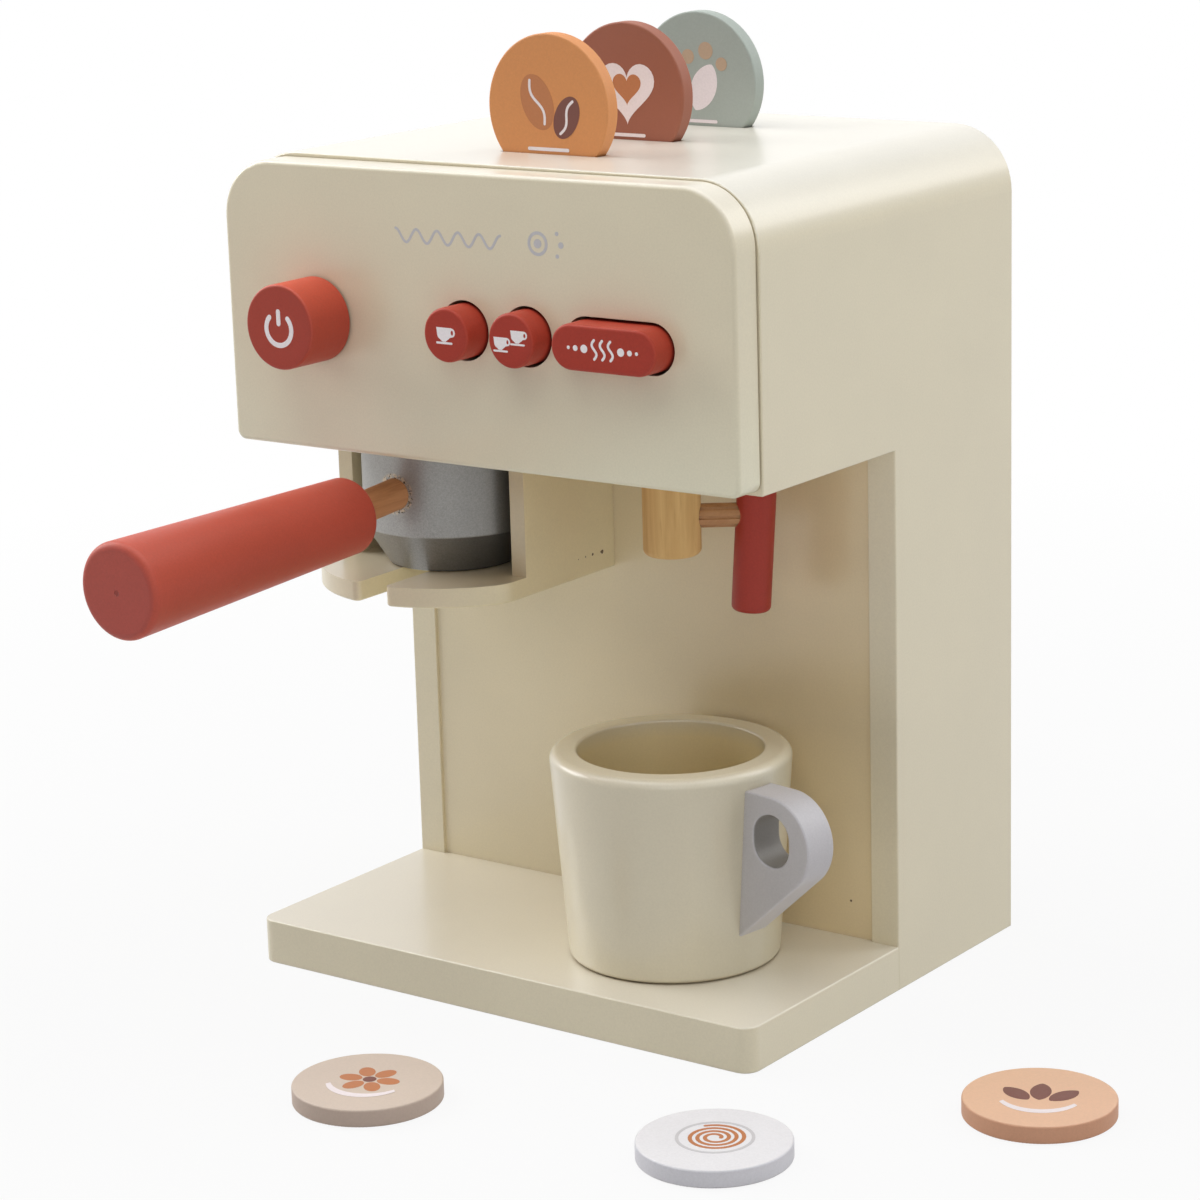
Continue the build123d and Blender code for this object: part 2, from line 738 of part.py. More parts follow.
# ---- steam wand ----
stub_top_z = head_bottom_z - moving_gap
stub_bottom_z = stub_top_z - wand_stub_length
arm_z = stub_bottom_z + wand_arm_height
arm_direction = (cos(radians(wand_turn)), sin(radians(wand_turn)), 0)
arm_end_reach = wand_arm_reach + wand_arm_depth_in_rod - wand_rod_radius / 2


def arm_bar(radius, start_reach, end_reach):
    """A round bar on the axis of the wand's cross dowel."""
    start = (wand_x + arm_direction[0] * start_reach, brew_y + arm_direction[1] * start_reach, arm_z)
    return rod(start, arm_direction, radius, end_reach - start_reach)


def wand_stub():
    """The natural wooden stub that hangs under the head and turns on its screw."""
    stub = rod((wand_x, brew_y, stub_top_z), (0, 0, -1), wand_stub_radius, wand_stub_length)
    stub = ease(stub, lambda c, e: abs(c.Z - stub_bottom_z) < near, wand_stub_edge)
    socket_start = wand_stub_radius - wand_arm_depth_in_stub - dowel_end_room
    stub = stub - arm_bar(wand_arm_diameter / 2 + glue_clearance, socket_start, wand_arm_reach)
    depth = pivot_screw_length - head_floor_thickness - pivot_washer_thickness
    pilot = rod((wand_x, brew_y, stub_top_z), (0, 0, -1), pivot_screw_diameter / 2 + glue_clearance, depth)
    return stub - pilot


def wand_arm():
    """The fluted cross dowel between the stub and the rod."""
    section = Circle(wand_arm_diameter / 2)
    for turn in range(wand_arm_flutes):
        angle = radians(360 * turn / wand_arm_flutes)
        place = Pos(cos(angle) * wand_arm_diameter / 2, sin(angle) * wand_arm_diameter / 2)
        section = section - place * Circle(wand_flute_radius)
    start_reach = wand_stub_radius - wand_arm_depth_in_stub
    start = (wand_x + arm_direction[0] * start_reach, brew_y + arm_direction[1] * start_reach, arm_z)
    return extrude(Plane(origin=start, z_dir=arm_direction) * section, amount=arm_end_reach - start_reach)


def wand_rod():
    """The painted rod, which leans a little from the cross dowel's square."""
    lean = radians(wand_rod_lean)
    down = (-arm_direction[0] * sin(lean), -arm_direction[1] * sin(lean), -cos(lean))
    crossing = (wand_x + arm_direction[0] * wand_arm_reach, brew_y + arm_direction[1] * wand_arm_reach, arm_z)
    start = [crossing[i] - down[i] * wand_rod_above_arm for i in range(3)]
    solid = rod(start, down, wand_rod_radius, wand_rod_above_arm + wand_rod_below_arm)
    solid = ease(solid, lambda c, e: e.length > wand_rod_radius, wand_rod_edge)
    hole_radius = wand_arm_diameter / 2 + glue_clearance
    return solid - arm_bar(hole_radius, wand_stub_radius, arm_end_reach + dowel_end_room)


def pivot_washer():
    """The washer between the pivot screw's head and the head floor."""
    start = (wand_x, brew_y, head_floor_top_z + seat_gap)
    disc = rod(start, (0, 0, 1), pivot_washer_radius, pivot_washer_thickness)
    return disc - screw_hole(pivot_head(), (0, 0, -1), pivot_screw_diameter, pivot_screw_length)


def pivot_head():
    """The flat head's middle; the screw's countersunk head stands in the washer."""
    return (wand_x, brew_y, head_floor_top_z + seat_gap + pivot_washer_thickness + pivot_screw_diameter / 4)


def pivot_screw():
    """The screw that holds the stub, and turns with it in the head floor."""
    return screw(pivot_head(), (0, 0, -1), pivot_screw_diameter, pivot_screw_length)


# ---- mug ----
mug_bottom_z = base_thickness + seat_gap
mug_handle_top = mug_handle_arc_height + mug_handle_arc_radius


def mug_radius(height):
    """The outer radius of the mug at a height above its foot."""
    return mug_foot_radius + (mug_rim_radius - mug_foot_radius) * height / mug_height


def mug_body():
    """A turned mug with thick walls, wider at its rim."""
    outline = [
        (0, 0),
        (mug_foot_radius, 0),
        (mug_rim_radius, mug_height),
        (mug_rim_radius - mug_wall, mug_height),
        (mug_radius(mug_floor) - mug_wall, mug_floor),
        (0, mug_floor),
    ]
    mug = turned(outline, mug_x, mug_y, mug_bottom_z)
    rim_z = mug_bottom_z + mug_height
    rim_length = 2 * pi * (mug_rim_radius - near)
    mouth_length = 2 * pi * (mug_rim_radius - mug_wall + near)
    mug = ease(mug, lambda c, e: abs(c.Z - rim_z) < near and e.length > rim_length, mug_rim_edge)
    mug = ease(mug, lambda c, e: abs(c.Z - rim_z) < near and e.length < mouth_length, mug_mouth_edge)
    mug = ease(mug, lambda c, e: c.Z < mug_bottom_z + mug_height / 2, mug_edge)
    for height in handle_pin_heights():
        mug = mug - handle_pin(height, glue_clearance)
    return mug


def mug_handle():
    """A flat handle: straight against the mug, round above and slanting in to a tip below."""
    centre = (mug_handle_arc_reach, mug_handle_arc_height)
    tip = (mug_radius(mug_handle_tip), mug_handle_tip)
    to_tip = (tip[0] - centre[0], tip[1] - centre[1])
    distance = hypot(*to_tip)
    bearing = degrees(atan2(to_tip[1], to_tip[0]))
    spread_angle = degrees(asin(sqrt(1 - (mug_handle_arc_radius / distance) ** 2)))
    tangent_angle = radians(bearing + spread_angle)
    tangent_x = centre[0] + mug_handle_arc_radius * cos(tangent_angle)
    tangent_z = centre[1] + mug_handle_arc_radius * sin(tangent_angle)
    inside = mug_foot_radius - mug_wall / 2
    web = Polyline((inside, mug_handle_tip), tip, (tangent_x, tangent_z), centre, (centre[0], mug_handle_top),
                   (inside, mug_handle_top), close=True)
    outline = make_face(web) + Pos(*centre) * Circle(mug_handle_arc_radius)
    hole = Pos(mug_hole_reach, mug_hole_middle) * Rot(0, 0, 90) * SlotOverall(mug_hole_height, mug_hole_width)
    plate = extrude(outline - hole, amount=mug_handle_thickness / 2, both=True)
    reach_limit = mug_rim_radius
    plate = ease(plate, lambda c, e: abs(abs(c.Z) - mug_handle_thickness / 2) < near and c.X > reach_limit,
                 mug_handle_edge)
    plate = Rot(90, 0, 0) * plate
    plate = Pos(mug_x, mug_y, mug_bottom_z) * Rot(0, 0, mug_handle_turn) * plate
    core_outline = [(0, 0), (mug_foot_radius, 0), (mug_rim_radius, mug_height), (0, mug_height)]
    core = turned(core_outline, mug_x, mug_y, mug_bottom_z)
    plate = plate - core
    for height in handle_pin_heights():
        plate = plate - handle_pin(height, glue_clearance)
    return plate


def handle_pin_heights():
    return [mug_handle_top - handle_pin_top_inset, mug_handle_tip + handle_pin_tip_inset]


def handle_pin(height, clearance):
    """One pin across the glued face of the handle."""
    turn = radians(mug_handle_turn)
    direction = (cos(turn), sin(turn), 0)
    start_reach = mug_radius(height) - handle_pin_depth
    start = (mug_x + direction[0] * start_reach, mug_y + direction[1] * start_reach, mug_bottom_z + height)
    return rod(start, direction, handle_pin_diameter / 2 + clearance, 2 * handle_pin_depth)


# ---- tokens ----
def token(centre, direction):
    """A painted wooden disc; centre is the middle of the face that direction leaves."""
    disc = rod(centre, direction, token_radius, token_thickness)
    return ease(disc, lambda c, e: e.length > token_radius, token_edge)


def slotted_token(index):
    """A token that stands in a slot of the top board."""
    centre_z = body_height - token_slot_depth + seat_gap + token_radius
    return token((token_x, token_slot_y(index) - token_thickness / 2, centre_z), (0, 1, 0))


def save_housing():
    save("base_board", base_board())
    save("side_panel_left", side_panel(-1))
    save("side_panel_right", side_panel(1))
    save("top_board", top_board())
    save("front_panel", front_panel())
    save("head_floor", head_floor())
    save("recess_panel", recess_panel())
    save("spring_board", spring_board())
    save("back_cleat_left", back_cleat(-1))
    save("back_cleat_right", back_cleat(1))
    save("back_panel", back_panel())
    back_screws = []
    for place in back_screw_places():
        back_screws.append(screw(place, (0, -1, 0), small_screw_diameter, back_screw_length()))
    save("back_panel_screws", back_screws)
    for name, group in dowel_groups.items():
        save(name, [pin for pin, _ in group])


def save_controls():
    save("knob", knob())
    save("knob_axle", knob_axle())
    save("knob_retainer", knob_retainer())
    save("knob_screw", screw(knob_screw_head(), (0, -1, 0), small_screw_diameter, small_screw_length))
    for name in buttons:
        save(f"{name}_button", button_cap(name))
        save(f"{name}_button_flange", button_flange(name))
        save(f"{name}_button_stem", button_stems(name))
        save(f"{name}_button_spring", button_springs(name))


def save_brewing_parts():
    save("holder_plate", holder_plate())
    save("holder_wall_left", holder_wall(-1))
    save("holder_wall_right", holder_wall(1))
    brads = [rod(point, direction, brad_diameter / 2, brad_length) for point, direction in brad_places()]
    save("holder_brads", brads)
    save("portafilter_cup", portafilter_cup())
    save("portafilter_neck", portafilter_neck())
    save("portafilter_grip", portafilter_grip())
    save("wand_stub", wand_stub())
    save("wand_arm", wand_arm())
    save("wand_rod", wand_rod())
    save("wand_pivot_washer", pivot_washer())
    save("wand_pivot_screw", pivot_screw())


def save_loose_parts():
    save("mug_body", mug_body())
    save("mug_handle", mug_handle())
    save("mug_handle_pins", [handle_pin(height, 0) for height in handle_pin_heights()])
    for index, name in enumerate(slotted_tokens):
        save(name, slotted_token(index))
    for name, (x, y) in loose_token_places.items():
        save(name, token((x, y, 0), (0, 0, 1)))


os.makedirs("parts", exist_ok=True)
save_housing()
save_controls()
save_brewing_parts()
save_loose_parts()
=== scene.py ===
import math
import bpy
from mathutils import Matrix, Vector


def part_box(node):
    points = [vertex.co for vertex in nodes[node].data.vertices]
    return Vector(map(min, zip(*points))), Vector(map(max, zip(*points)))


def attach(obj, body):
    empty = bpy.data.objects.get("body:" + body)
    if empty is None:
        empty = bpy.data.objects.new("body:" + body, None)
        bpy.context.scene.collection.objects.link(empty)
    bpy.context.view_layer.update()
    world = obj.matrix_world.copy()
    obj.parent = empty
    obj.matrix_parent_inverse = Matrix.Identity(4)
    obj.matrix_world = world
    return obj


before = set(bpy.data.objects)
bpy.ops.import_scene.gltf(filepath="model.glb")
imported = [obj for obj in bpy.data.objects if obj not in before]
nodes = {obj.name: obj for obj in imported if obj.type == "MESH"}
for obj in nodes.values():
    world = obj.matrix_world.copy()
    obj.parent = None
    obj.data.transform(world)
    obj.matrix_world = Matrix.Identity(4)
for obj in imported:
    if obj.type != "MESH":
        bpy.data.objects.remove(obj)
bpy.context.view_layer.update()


# Studio. The toy stands on a white table top before white paper. One wide soft lamp hangs
# overhead, the main softbox stands high on the left, and weaker ones fill in from the other sides.
def shade(red, green, blue):
    """A colour as it is mixed for print, from 0 to 255, made linear for the renderer."""
    return [((c / 255 + 0.055) / 1.055) ** 2.4 for c in (red, green, blue)] + [1.0]


def add_node(tree, kind, sockets=(), **settings):
    """A shader node; sockets pairs an input with a value or with another node's output."""
    node = tree.nodes.new(kind)
    for setting, value in settings.items():
        setattr(node, setting, value)
    for socket, value in dict(sockets).items():
        if isinstance(value, bpy.types.NodeSocket):
            tree.links.new(value, node.inputs[socket])
        else:
            node.inputs[socket].default_value = value
    return node


def soft_lamp(name, place, aim, width, height, watts):
    """A rectangular softbox that looks at a point."""
    lamp = bpy.data.lights.new(name, "AREA")
    lamp.shape = "RECTANGLE"
    lamp.size = width
    lamp.size_y = height
    lamp.energy = watts
    stand = bpy.data.objects.new(name, lamp)
    bpy.context.scene.collection.objects.link(stand)
    stand.location = place
    stand.rotation_euler = (Vector(aim) - Vector(place)).to_track_quat("-Z", "Y").to_euler()


soft_lamp("overhead_softbox", (0.05, -0.10, 1.35), (0.0, -0.03, 0.1), 1.5, 1.5, 14.0)
soft_lamp("left_softbox", (-1.35, -0.30, 1.00), (0.0, 0.0, 0.14), 1.0, 1.2, 18.5)
soft_lamp("right_softbox", (1.75, -0.25, 0.65), (0.0, 0.0, 0.14), 1.0, 1.2, 3.6)
soft_lamp("front_right_softbox", (0.95, -1.40, 0.70), (0.0, 0.0, 0.14), 1.0, 1.2, 4.4)
soft_lamp("back_right_softbox", (0.90, 1.00, 1.10), (0.0, 0.0, 0.14), 1.0, 1.2, 9.0)


def white_rays(tree):
    """1 where the camera or a shiny surface looks at the paper, which then shows white, and 0 elsewhere."""
    rays = add_node(tree, "ShaderNodeLightPath")
    return add_node(tree, "ShaderNodeMath", {
        0: rays.outputs["Is Camera Ray"], 1: rays.outputs["Is Glossy Ray"]}, operation="MAXIMUM").outputs[0]


room = bpy.data.worlds.new("white_room")
bpy.context.scene.world = room
room.use_nodes = True
room.node_tree.nodes.clear()
seen_share = white_rays(room.node_tree)
pure_white = shade(255, 255, 255)
ambient = add_node(room.node_tree, "ShaderNodeBackground", {"Color": shade(252, 250, 246), "Strength": 0.015})
white_paper = add_node(room.node_tree, "ShaderNodeBackground", {"Color": pure_white, "Strength": 1.0})
seen = add_node(room.node_tree, "ShaderNodeMixShader", {
    0: seen_share, 1: ambient.outputs[0], 2: white_paper.outputs[0]})
add_node(room.node_tree, "ShaderNodeOutputWorld", {"Surface": seen.outputs[0]})

bpy.ops.object.select_all(action="DESELECT")
bpy.ops.mesh.primitive_plane_add(size=8.0, location=(0, 0, -0.0002))
table_top = bpy.context.active_object
table_top.name = "table_top"
table_paper = bpy.data.materials.new("table_paper")
table_paper.use_nodes = True
paper_tree = table_paper.node_tree
paper_tree.nodes.clear()
matt_white = add_node(paper_tree, "ShaderNodeBsdfDiffuse", {"Color": shade(206, 206, 206)})
glow_white = add_node(paper_tree, "ShaderNodeEmission", {"Color": pure_white, "Strength": 1.0})
place = add_node(paper_tree, "ShaderNodeTexCoord").outputs["Object"]
from_toy = add_node(paper_tree, "ShaderNodeVectorMath", {0: place}, operation="LENGTH").outputs["Value"]
whiteness = add_node(paper_tree, "ShaderNodeMapRange", {
    "Value": from_toy, "From Min": 0.20, "From Max": 0.70, "To Min": 0.90, "To Max": 1.0}).outputs["Result"]
glow_share = add_node(paper_tree, "ShaderNodeMath", {
    0: white_rays(paper_tree), 1: whiteness}, operation="MULTIPLY").outputs[0]
paper_mix = add_node(paper_tree, "ShaderNodeMixShader", {
    0: glow_share, 1: matt_white.outputs[0], 2: glow_white.outputs[0]})
add_node(paper_tree, "ShaderNodeOutputMaterial", {"Surface": paper_mix.outputs[0]})
table_top.data.materials.append(table_paper)

camera_data = bpy.data.cameras.new("camera")
camera_data.lens = 105.758
camera_data.sensor_width = 36.0
camera_data.clip_start = 0.05
camera_data.clip_end = 20.0
camera = bpy.data.objects.new("camera", camera_data)
bpy.context.scene.collection.objects.link(camera)
camera.location = (0.602690, -0.835221, 0.370161)
camera.rotation_euler = [math.radians(angle) for angle in (75.7927, 1.5802, 35.9117)]
bpy.context.scene.camera = camera
bpy.context.scene.view_settings.view_transform = "Standard"


# Housing boards. Fibreboard cut to shape, its edges eased, sprayed with cream satin lacquer under a
# clear coat and glued up with hidden dowels. Some boards are given lighter, darker or warmer copies of
# the cream and tones on their upward faces, as painted light and shade, and the joints are darkened as
# dust and painted shade.
def start_group(name, inputs, outputs):
    """An empty shader node group: its tree and its input and output nodes."""
    tree = bpy.data.node_groups.new(name, "ShaderNodeTree")
    for label, kind, value in inputs:
        tree.interface.new_socket(label, in_out="INPUT", socket_type=kind).default_value = value
    for label, kind in outputs:
        tree.interface.new_socket(label, in_out="OUTPUT", socket_type=kind)
    return tree, tree.nodes.new("NodeGroupInput"), tree.nodes.new("NodeGroupOutput")


def finish_group(tree, output_node, results):
    """Connects the named results to the group's output."""
    for label, socket in results.items():
        tree.links.new(socket, output_node.inputs[label])
    return tree


def calculate(tree, operation, first, second=0.0, third=0.0):
    """One step of arithmetic."""
    return add_node(tree, "ShaderNodeMath", {0: first, 1: second, 2: third}, operation=operation).outputs[0]


def measure(tree, operation, first, second):
    """A number from two vectors: DOT_PRODUCT for a length along a direction, or DISTANCE."""
    return add_node(tree, "ShaderNodeVectorMath", {0: first, 1: second}, operation=operation).outputs["Value"]


def object_place(tree):
    """Where a point of the surface lies, in metres and in the piece's own coordinates."""
    return add_node(tree, "ShaderNodeTexCoord").outputs["Object"]


def remap(tree, value, low, high, out_low=0.0, out_high=1.0):
    """A value stretched from one range to another and kept inside it."""
    stretch = add_node(tree, "ShaderNodeMapRange", {
        "Value": value, "From Min": low, "From Max": high, "To Min": out_low, "To Max": out_high})
    return stretch.outputs["Result"]


def mix_colour(tree, share, first, second):
    """The first colour, turned into the second by a share."""
    return add_node(tree, "ShaderNodeMix", {0: share, 6: first, 7: second}, data_type="RGBA").outputs[2]


def noise(tree, place, scale, detail=2.0, roughness=0.5, distortion=0.0):
    """Soft random mottling from 0 to 1; scale is about how many blots there are in a metre."""
    blots = add_node(tree, "ShaderNodeTexNoise", {
        "Vector": place, "Scale": scale, "Detail": detail, "Roughness": roughness, "Distortion": distortion})
    return blots.outputs["Fac"]


def lacquer_group():
    """Sprayed paint: cloudy by a few hundredths, with a fine orange peel and a few nibs of dust."""
    tree, given, result = start_group("sprayed_lacquer", [
        ("Colour", "NodeSocketColor", (0.8, 0.8, 0.8, 1.0)),
        ("Cloudiness", "NodeSocketFloat", 0.05),
        ("Sheen Loss", "NodeSocketFloat", 0.4),
        ("Peel Size", "NodeSocketFloat", 650.0),
    ], [("Colour", "NodeSocketColor"), ("Roughness", "NodeSocketFloat"), ("Height", "NodeSocketFloat")])
    place = object_place(tree)
    clouds = noise(tree, place, 26.0, 4.0, 0.6)
    drift = noise(tree, place, 9.0, 1.0)
    peel = noise(tree, place, given.outputs["Peel Size"], 2.0, 0.6)
    tooth = noise(tree, place, 1700.0, 1.0)
    nibs = remap(tree, noise(tree, place, 310.0, 0.0), 0.80, 0.86)
    swing = calculate(tree, "SUBTRACT", clouds, 0.5)
    swing = calculate(tree, "MULTIPLY_ADD", calculate(tree, "SUBTRACT", tooth, 0.5), 1.1, swing)
    value = calculate(tree, "MULTIPLY_ADD", swing, given.outputs["Cloudiness"], 1.0)
    hue = remap(tree, drift, 0.0, 1.0, 0.497, 0.503)
    tinted = add_node(tree, "ShaderNodeHueSaturation", {
        "Hue": hue, "Value": value, "Color": given.outputs["Colour"]}).outputs[0]
    peel_swing = calculate(tree, "SUBTRACT", peel, 0.5)
    roughness = calculate(tree, "MULTIPLY_ADD", peel_swing, 0.10, given.outputs["Sheen Loss"])
    roughness = calculate(tree, "MULTIPLY_ADD", swing, 0.12, roughness)
    height = calculate(tree, "MULTIPLY_ADD", peel, 0.7, calculate(tree, "MULTIPLY", tooth, 0.18))
    height = calculate(tree, "MULTIPLY_ADD", nibs, 0.8, height)
    return finish_group(tree, result, {"Colour": tinted, "Roughness": roughness, "Height": height})


def edge_group():
    """Where an edge turns: 1 along it, broken up by handling, and 0 on the flats."""
    tree, given, result = start_group("eased_edge", [
        ("Reach", "NodeSocketFloat", 0.0015),
        ("Brokenness", "NodeSocketFloat", 0.5),
    ], [("Edge", "NodeSocketFloat")])
    rounded = add_node(tree, "ShaderNodeBevel", {"Radius": given.outputs["Reach"]}, samples=4).outputs[0]
    flat = add_node(tree, "ShaderNodeNewGeometry").outputs["Normal"]
    turning = remap(tree, measure(tree, "DOT_PRODUCT", rounded, flat), 0.995, 0.85)
    place = object_place(tree)
    patches = remap(tree, noise(tree, place, 120.0, 3.0, 0.65), 0.35, 0.65)
    missing = calculate(tree, "SUBTRACT", patches, 1.0)
    broken = calculate(tree, "MULTIPLY_ADD", missing, given.outputs["Brokenness"], 1.0)
    return finish_group(tree, result, {"Edge": calculate(tree, "MULTIPLY", turning, broken)})


def joint_group():
    """Dust and painted shade in tight corners: 1 deep in a joint and 0 in the open."""
    tree, given, result = start_group("joint_dust_and_shade", [
        ("Reach", "NodeSocketFloat", 0.004),
    ], [("Dust", "NodeSocketFloat")])
    # Ambient occlusion finds the tight corners, which are darkened as dust and painted shade.
    openness = add_node(tree, "ShaderNodeAmbientOcclusion", {"Distance": given.outputs["Reach"]}, samples=6)
    return finish_group(tree, result, {"Dust": remap(tree, openness.outputs["AO"], 0.62, 0.22)})


def nick_group():
    """A small knock in the paint at one place, with a ragged outline."""
    tree, given, result = start_group("paint_nick", [
        ("Place", "NodeSocketVector", (0.0, 0.0, 0.0)),
        ("Reach", "NodeSocketFloat", 0.0008),
    ], [("Nick", "NodeSocketFloat")])
    place = object_place(tree)
    distance = measure(tree, "DISTANCE", place, given.outputs["Place"])
    ragged = remap(tree, noise(tree, place, 900.0, 2.0), 0.3, 0.7, 0.6, 1.4)
    limit = calculate(tree, "MULTIPLY", given.outputs["Reach"], ragged)
    inside = calculate(tree, "SUBTRACT", limit, distance)
    return finish_group(tree, result, {"Nick": remap(tree, inside, 0.0, 0.0001)})


def facing_group():
    """How far a face looks along a direction: 0 at the first limit and 1 at the second."""
    tree, given, result = start_group("face_direction", [
        ("Direction", "NodeSocketVector", (0.0, 0.0, 1.0)),
        ("From", "NodeSocketFloat", 0.2),
        ("To", "NodeSocketFloat", 0.9),
    ], [("Share", "NodeSocketFloat")])
    normal = add_node(tree, "ShaderNodeTexCoord").outputs["Normal"]
    along = measure(tree, "DOT_PRODUCT", normal, given.outputs["Direction"])
    share = remap(tree, along, given.outputs["From"], given.outputs["To"])
    return finish_group(tree, result, {"Share": share})


hollow_blend = 0.0004
lacquer = lacquer_group()
eased_edge = edge_group()
face_direction = facing_group()
joint_dust_and_shade = joint_group()
paint_nick = nick_group()


def use_group(tree, group, sockets=()):
    """A copy of a shared effect in one material, with that material's own values."""
    return add_node(tree, "ShaderNodeGroup", sockets, node_tree=group).outputs


def facing(tree, direction, low, high):
    """1 on faces that look along a direction and 0 on those that look elsewhere."""
    return use_group(tree, face_direction, {"Direction": direction, "From": low, "To": high})["Share"]


def start_material(name):
    """A new material with only its Principled shader: the material, its tree and the shader."""
    material = bpy.data.materials.new(name)
    material.use_nodes = True
    tree = material.node_tree
    return material, tree, tree.nodes["Principled BSDF"]


def raise_height(tree, shader, height, depth):
    """Relief on the shader: a height from 0 to 1 that stands for a depth in metres."""
    bump = add_node(tree, "ShaderNodeBump", {"Strength": 1.0, "Distance": depth, "Height": height})
    tree.links.new(bump.outputs["Normal"], shader.inputs["Normal"])


def scaled(tree, tone, colour, other):
    """A tone with its mean colour changed to another and its unevenness kept."""
    ratio = [new / old for new, old in zip(other[:3], colour[:3])] + [1.0]
    product = add_node(tree, "ShaderNodeMix", {0: 1.0, 6: tone, 7: ratio},
                       data_type="RGBA", blend_type="MULTIPLY")
    return product.outputs[2]


def lacquered(name, colour, edge_colour, roughness, cloudiness=0.06, dust=0.45, nicks=(), peel=650.0,
              relief=0.00003, reach=0.0016, coat=0.0, turned=(), spread=(), hollow=None):
    """A painted finish: lacquer over the piece, another tone on its edges, if any, and dust and painted
    shade in its joints.

    turned holds tones for faces that look one way, as (colour, direction, from, to), and spread holds
    tones that come in along a direction of the piece, as (colour, direction, start, end) in metres.
    hollow is the tone inside an opening, as (colour, middle, radius, height share, direction left out):
    a height share of 1 makes it a ball and 0 an upright well. All three hold painted light and shade.
    """
    material, tree, shader = start_material(name)
    place = object_place(tree)
    paint = use_group(tree, lacquer, {
        "Colour": colour, "Cloudiness": cloudiness, "Sheen Loss": roughness, "Peel Size": peel})
    tone = paint["Colour"]
    # Tones by facing, along the piece and inside an opening: painted light and shade.
    for other, direction, low, high in turned:
        tone = mix_colour(tree, facing(tree, direction, low, high), tone, scaled(tree, tone, colour, other))
    for other, direction, start, end in spread:
        share = remap(tree, measure(tree, "DOT_PRODUCT", place, direction), start, end)
        tone = mix_colour(tree, share, tone, scaled(tree, tone, colour, other))
    if hollow:
        other, middle, radius, height_share, left_out = hollow
        squash = Vector((1.0, 1.0, height_share))
        squashed = add_node(tree, "ShaderNodeVectorMath", {0: place, 1: squash}, operation="MULTIPLY")
        distance = measure(tree, "DISTANCE", squashed.outputs["Vector"], Vector(middle) * squash)
        inside = remap(tree, distance, radius, radius - hollow_blend)
        shown = calculate(tree, "SUBTRACT", 1.0, facing(tree, left_out, 0.5, 0.9))
        inside = calculate(tree, "MULTIPLY", inside, shown)
        tone = mix_colour(tree, inside, tone, scaled(tree, tone, colour, other))
    if edge_colour:
        edge = use_group(tree, eased_edge, {"Reach": reach, "Brokenness": 0.5})["Edge"]
        tone = mix_colour(tree, calculate(tree, "MULTIPLY", edge, 0.6), tone, edge_colour)
    # Corners and joints are darkened towards a dark cream: dust and painted shade.
    corner_dust_and_shade = use_group(tree, joint_dust_and_shade, {"Reach": 0.003})["Dust"]
    dust_and_shade_tone = [channel * share for channel, share in zip(colour, (0.50, 0.42, 0.34))] + [1.0]
    tone = mix_colour(tree, calculate(tree, "MULTIPLY", corner_dust_and_shade, dust), tone, dust_and_shade_tone)
    height = paint["Height"]
    for knock, size in nicks:
        nick = use_group(tree, paint_nick, {"Place": knock, "Reach": size})["Nick"]
        tone = mix_colour(tree, nick, tone, shade(88, 66, 46))
        height = calculate(tree, "MULTIPLY_ADD", nick, -2.0, height)
    tree.links.new(tone, shader.inputs["Base Color"])
    tree.links.new(paint["Roughness"], shader.inputs["Roughness"])
    shader.inputs["Coat Weight"].default_value = coat
    shader.inputs["Coat Roughness"].default_value = 0.22
    raise_height(tree, shader, height, relief)
    return material


def cream_coat(name, colour, **more):
    """The housing's satin cream under its clear coat, with the tones of painted light and shade it is given.
    """
    return lacquered(name, colour, None, 0.36, cloudiness=0.09, dust=0.4, coat=0.6, **more)


def finish_nodes(material, *names):
    """Puts a finish on CAD nodes."""
    for name in names:
        for slot in nodes[name].material_slots:
            slot.material = material


cream = shade(231, 221, 193)
upwards = (0.0, 0.0, 1.0)
downwards = (0.0, 0.0, -1.0)
forwards = (0.0, -1.0, 0.0)
fork_face_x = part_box("holder_wall_right")[1].x
fork_seam_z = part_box("holder_plate")[1].z
recess_face_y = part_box("recess_panel")[0].y
seam_knocks = [((fork_face_x, y, fork_seam_z), size) for y, size in
               ((-0.0114, 0.00025), (-0.0078, 0.0004), (-0.0041, 0.00045), (0.0006, 0.0007))]
bay_knocks = [((0.0730, recess_face_y, 0.0247), 0.0004)]
# Faces that look up are painted paler and cooler: painted light from above, with a painted sheen on the top
# board.
painted_top_light = (shade(229, 222, 205), upwards, 0.15, 0.85)
top_board_painted_light = (shade(226, 222, 210), upwards, 0.15, 0.85)

finish_nodes(cream_coat("cream_lacquer", cream, nicks=bay_knocks, turned=[painted_top_light]),
             "base_board", "side_panel_left", "side_panel_right", "back_panel")
finish_nodes(cream_coat("top_lacquer", cream, turned=[top_board_painted_light]), "top_board")
# The panel's lower strip is painted paler: painted light.
finish_nodes(cream_coat("panel_lacquer", cream, turned=[painted_top_light],
                        spread=[(shade(235, 230, 203), downwards, -0.200, -0.165)]), "front_panel")
# The bay's back panel is a warmer copy of the cream, warmer and darker towards the right: painted bounce
# light and painted shade.
finish_nodes(cream_coat("bay_lacquer", shade(231, 219, 188), nicks=bay_knocks,
                        spread=[(shade(233, 214, 174), (1.0, 0.0, 0.0), -0.04, 0.07)]), "recess_panel")
# The fork is a lighter copy of the cream, darker on faces that look up and on those that look forwards:
# painted light and shade.
finish_nodes(cream_coat("fork_lacquer", shade(239, 227, 190), nicks=seam_knocks,
                        turned=[(shade(231, 219, 192), upwards, 0.15, 0.85),
                                (shade(221, 207, 175), forwards, 0.5, 0.9)]),
             "holder_plate", "holder_wall_left", "holder_wall_right")
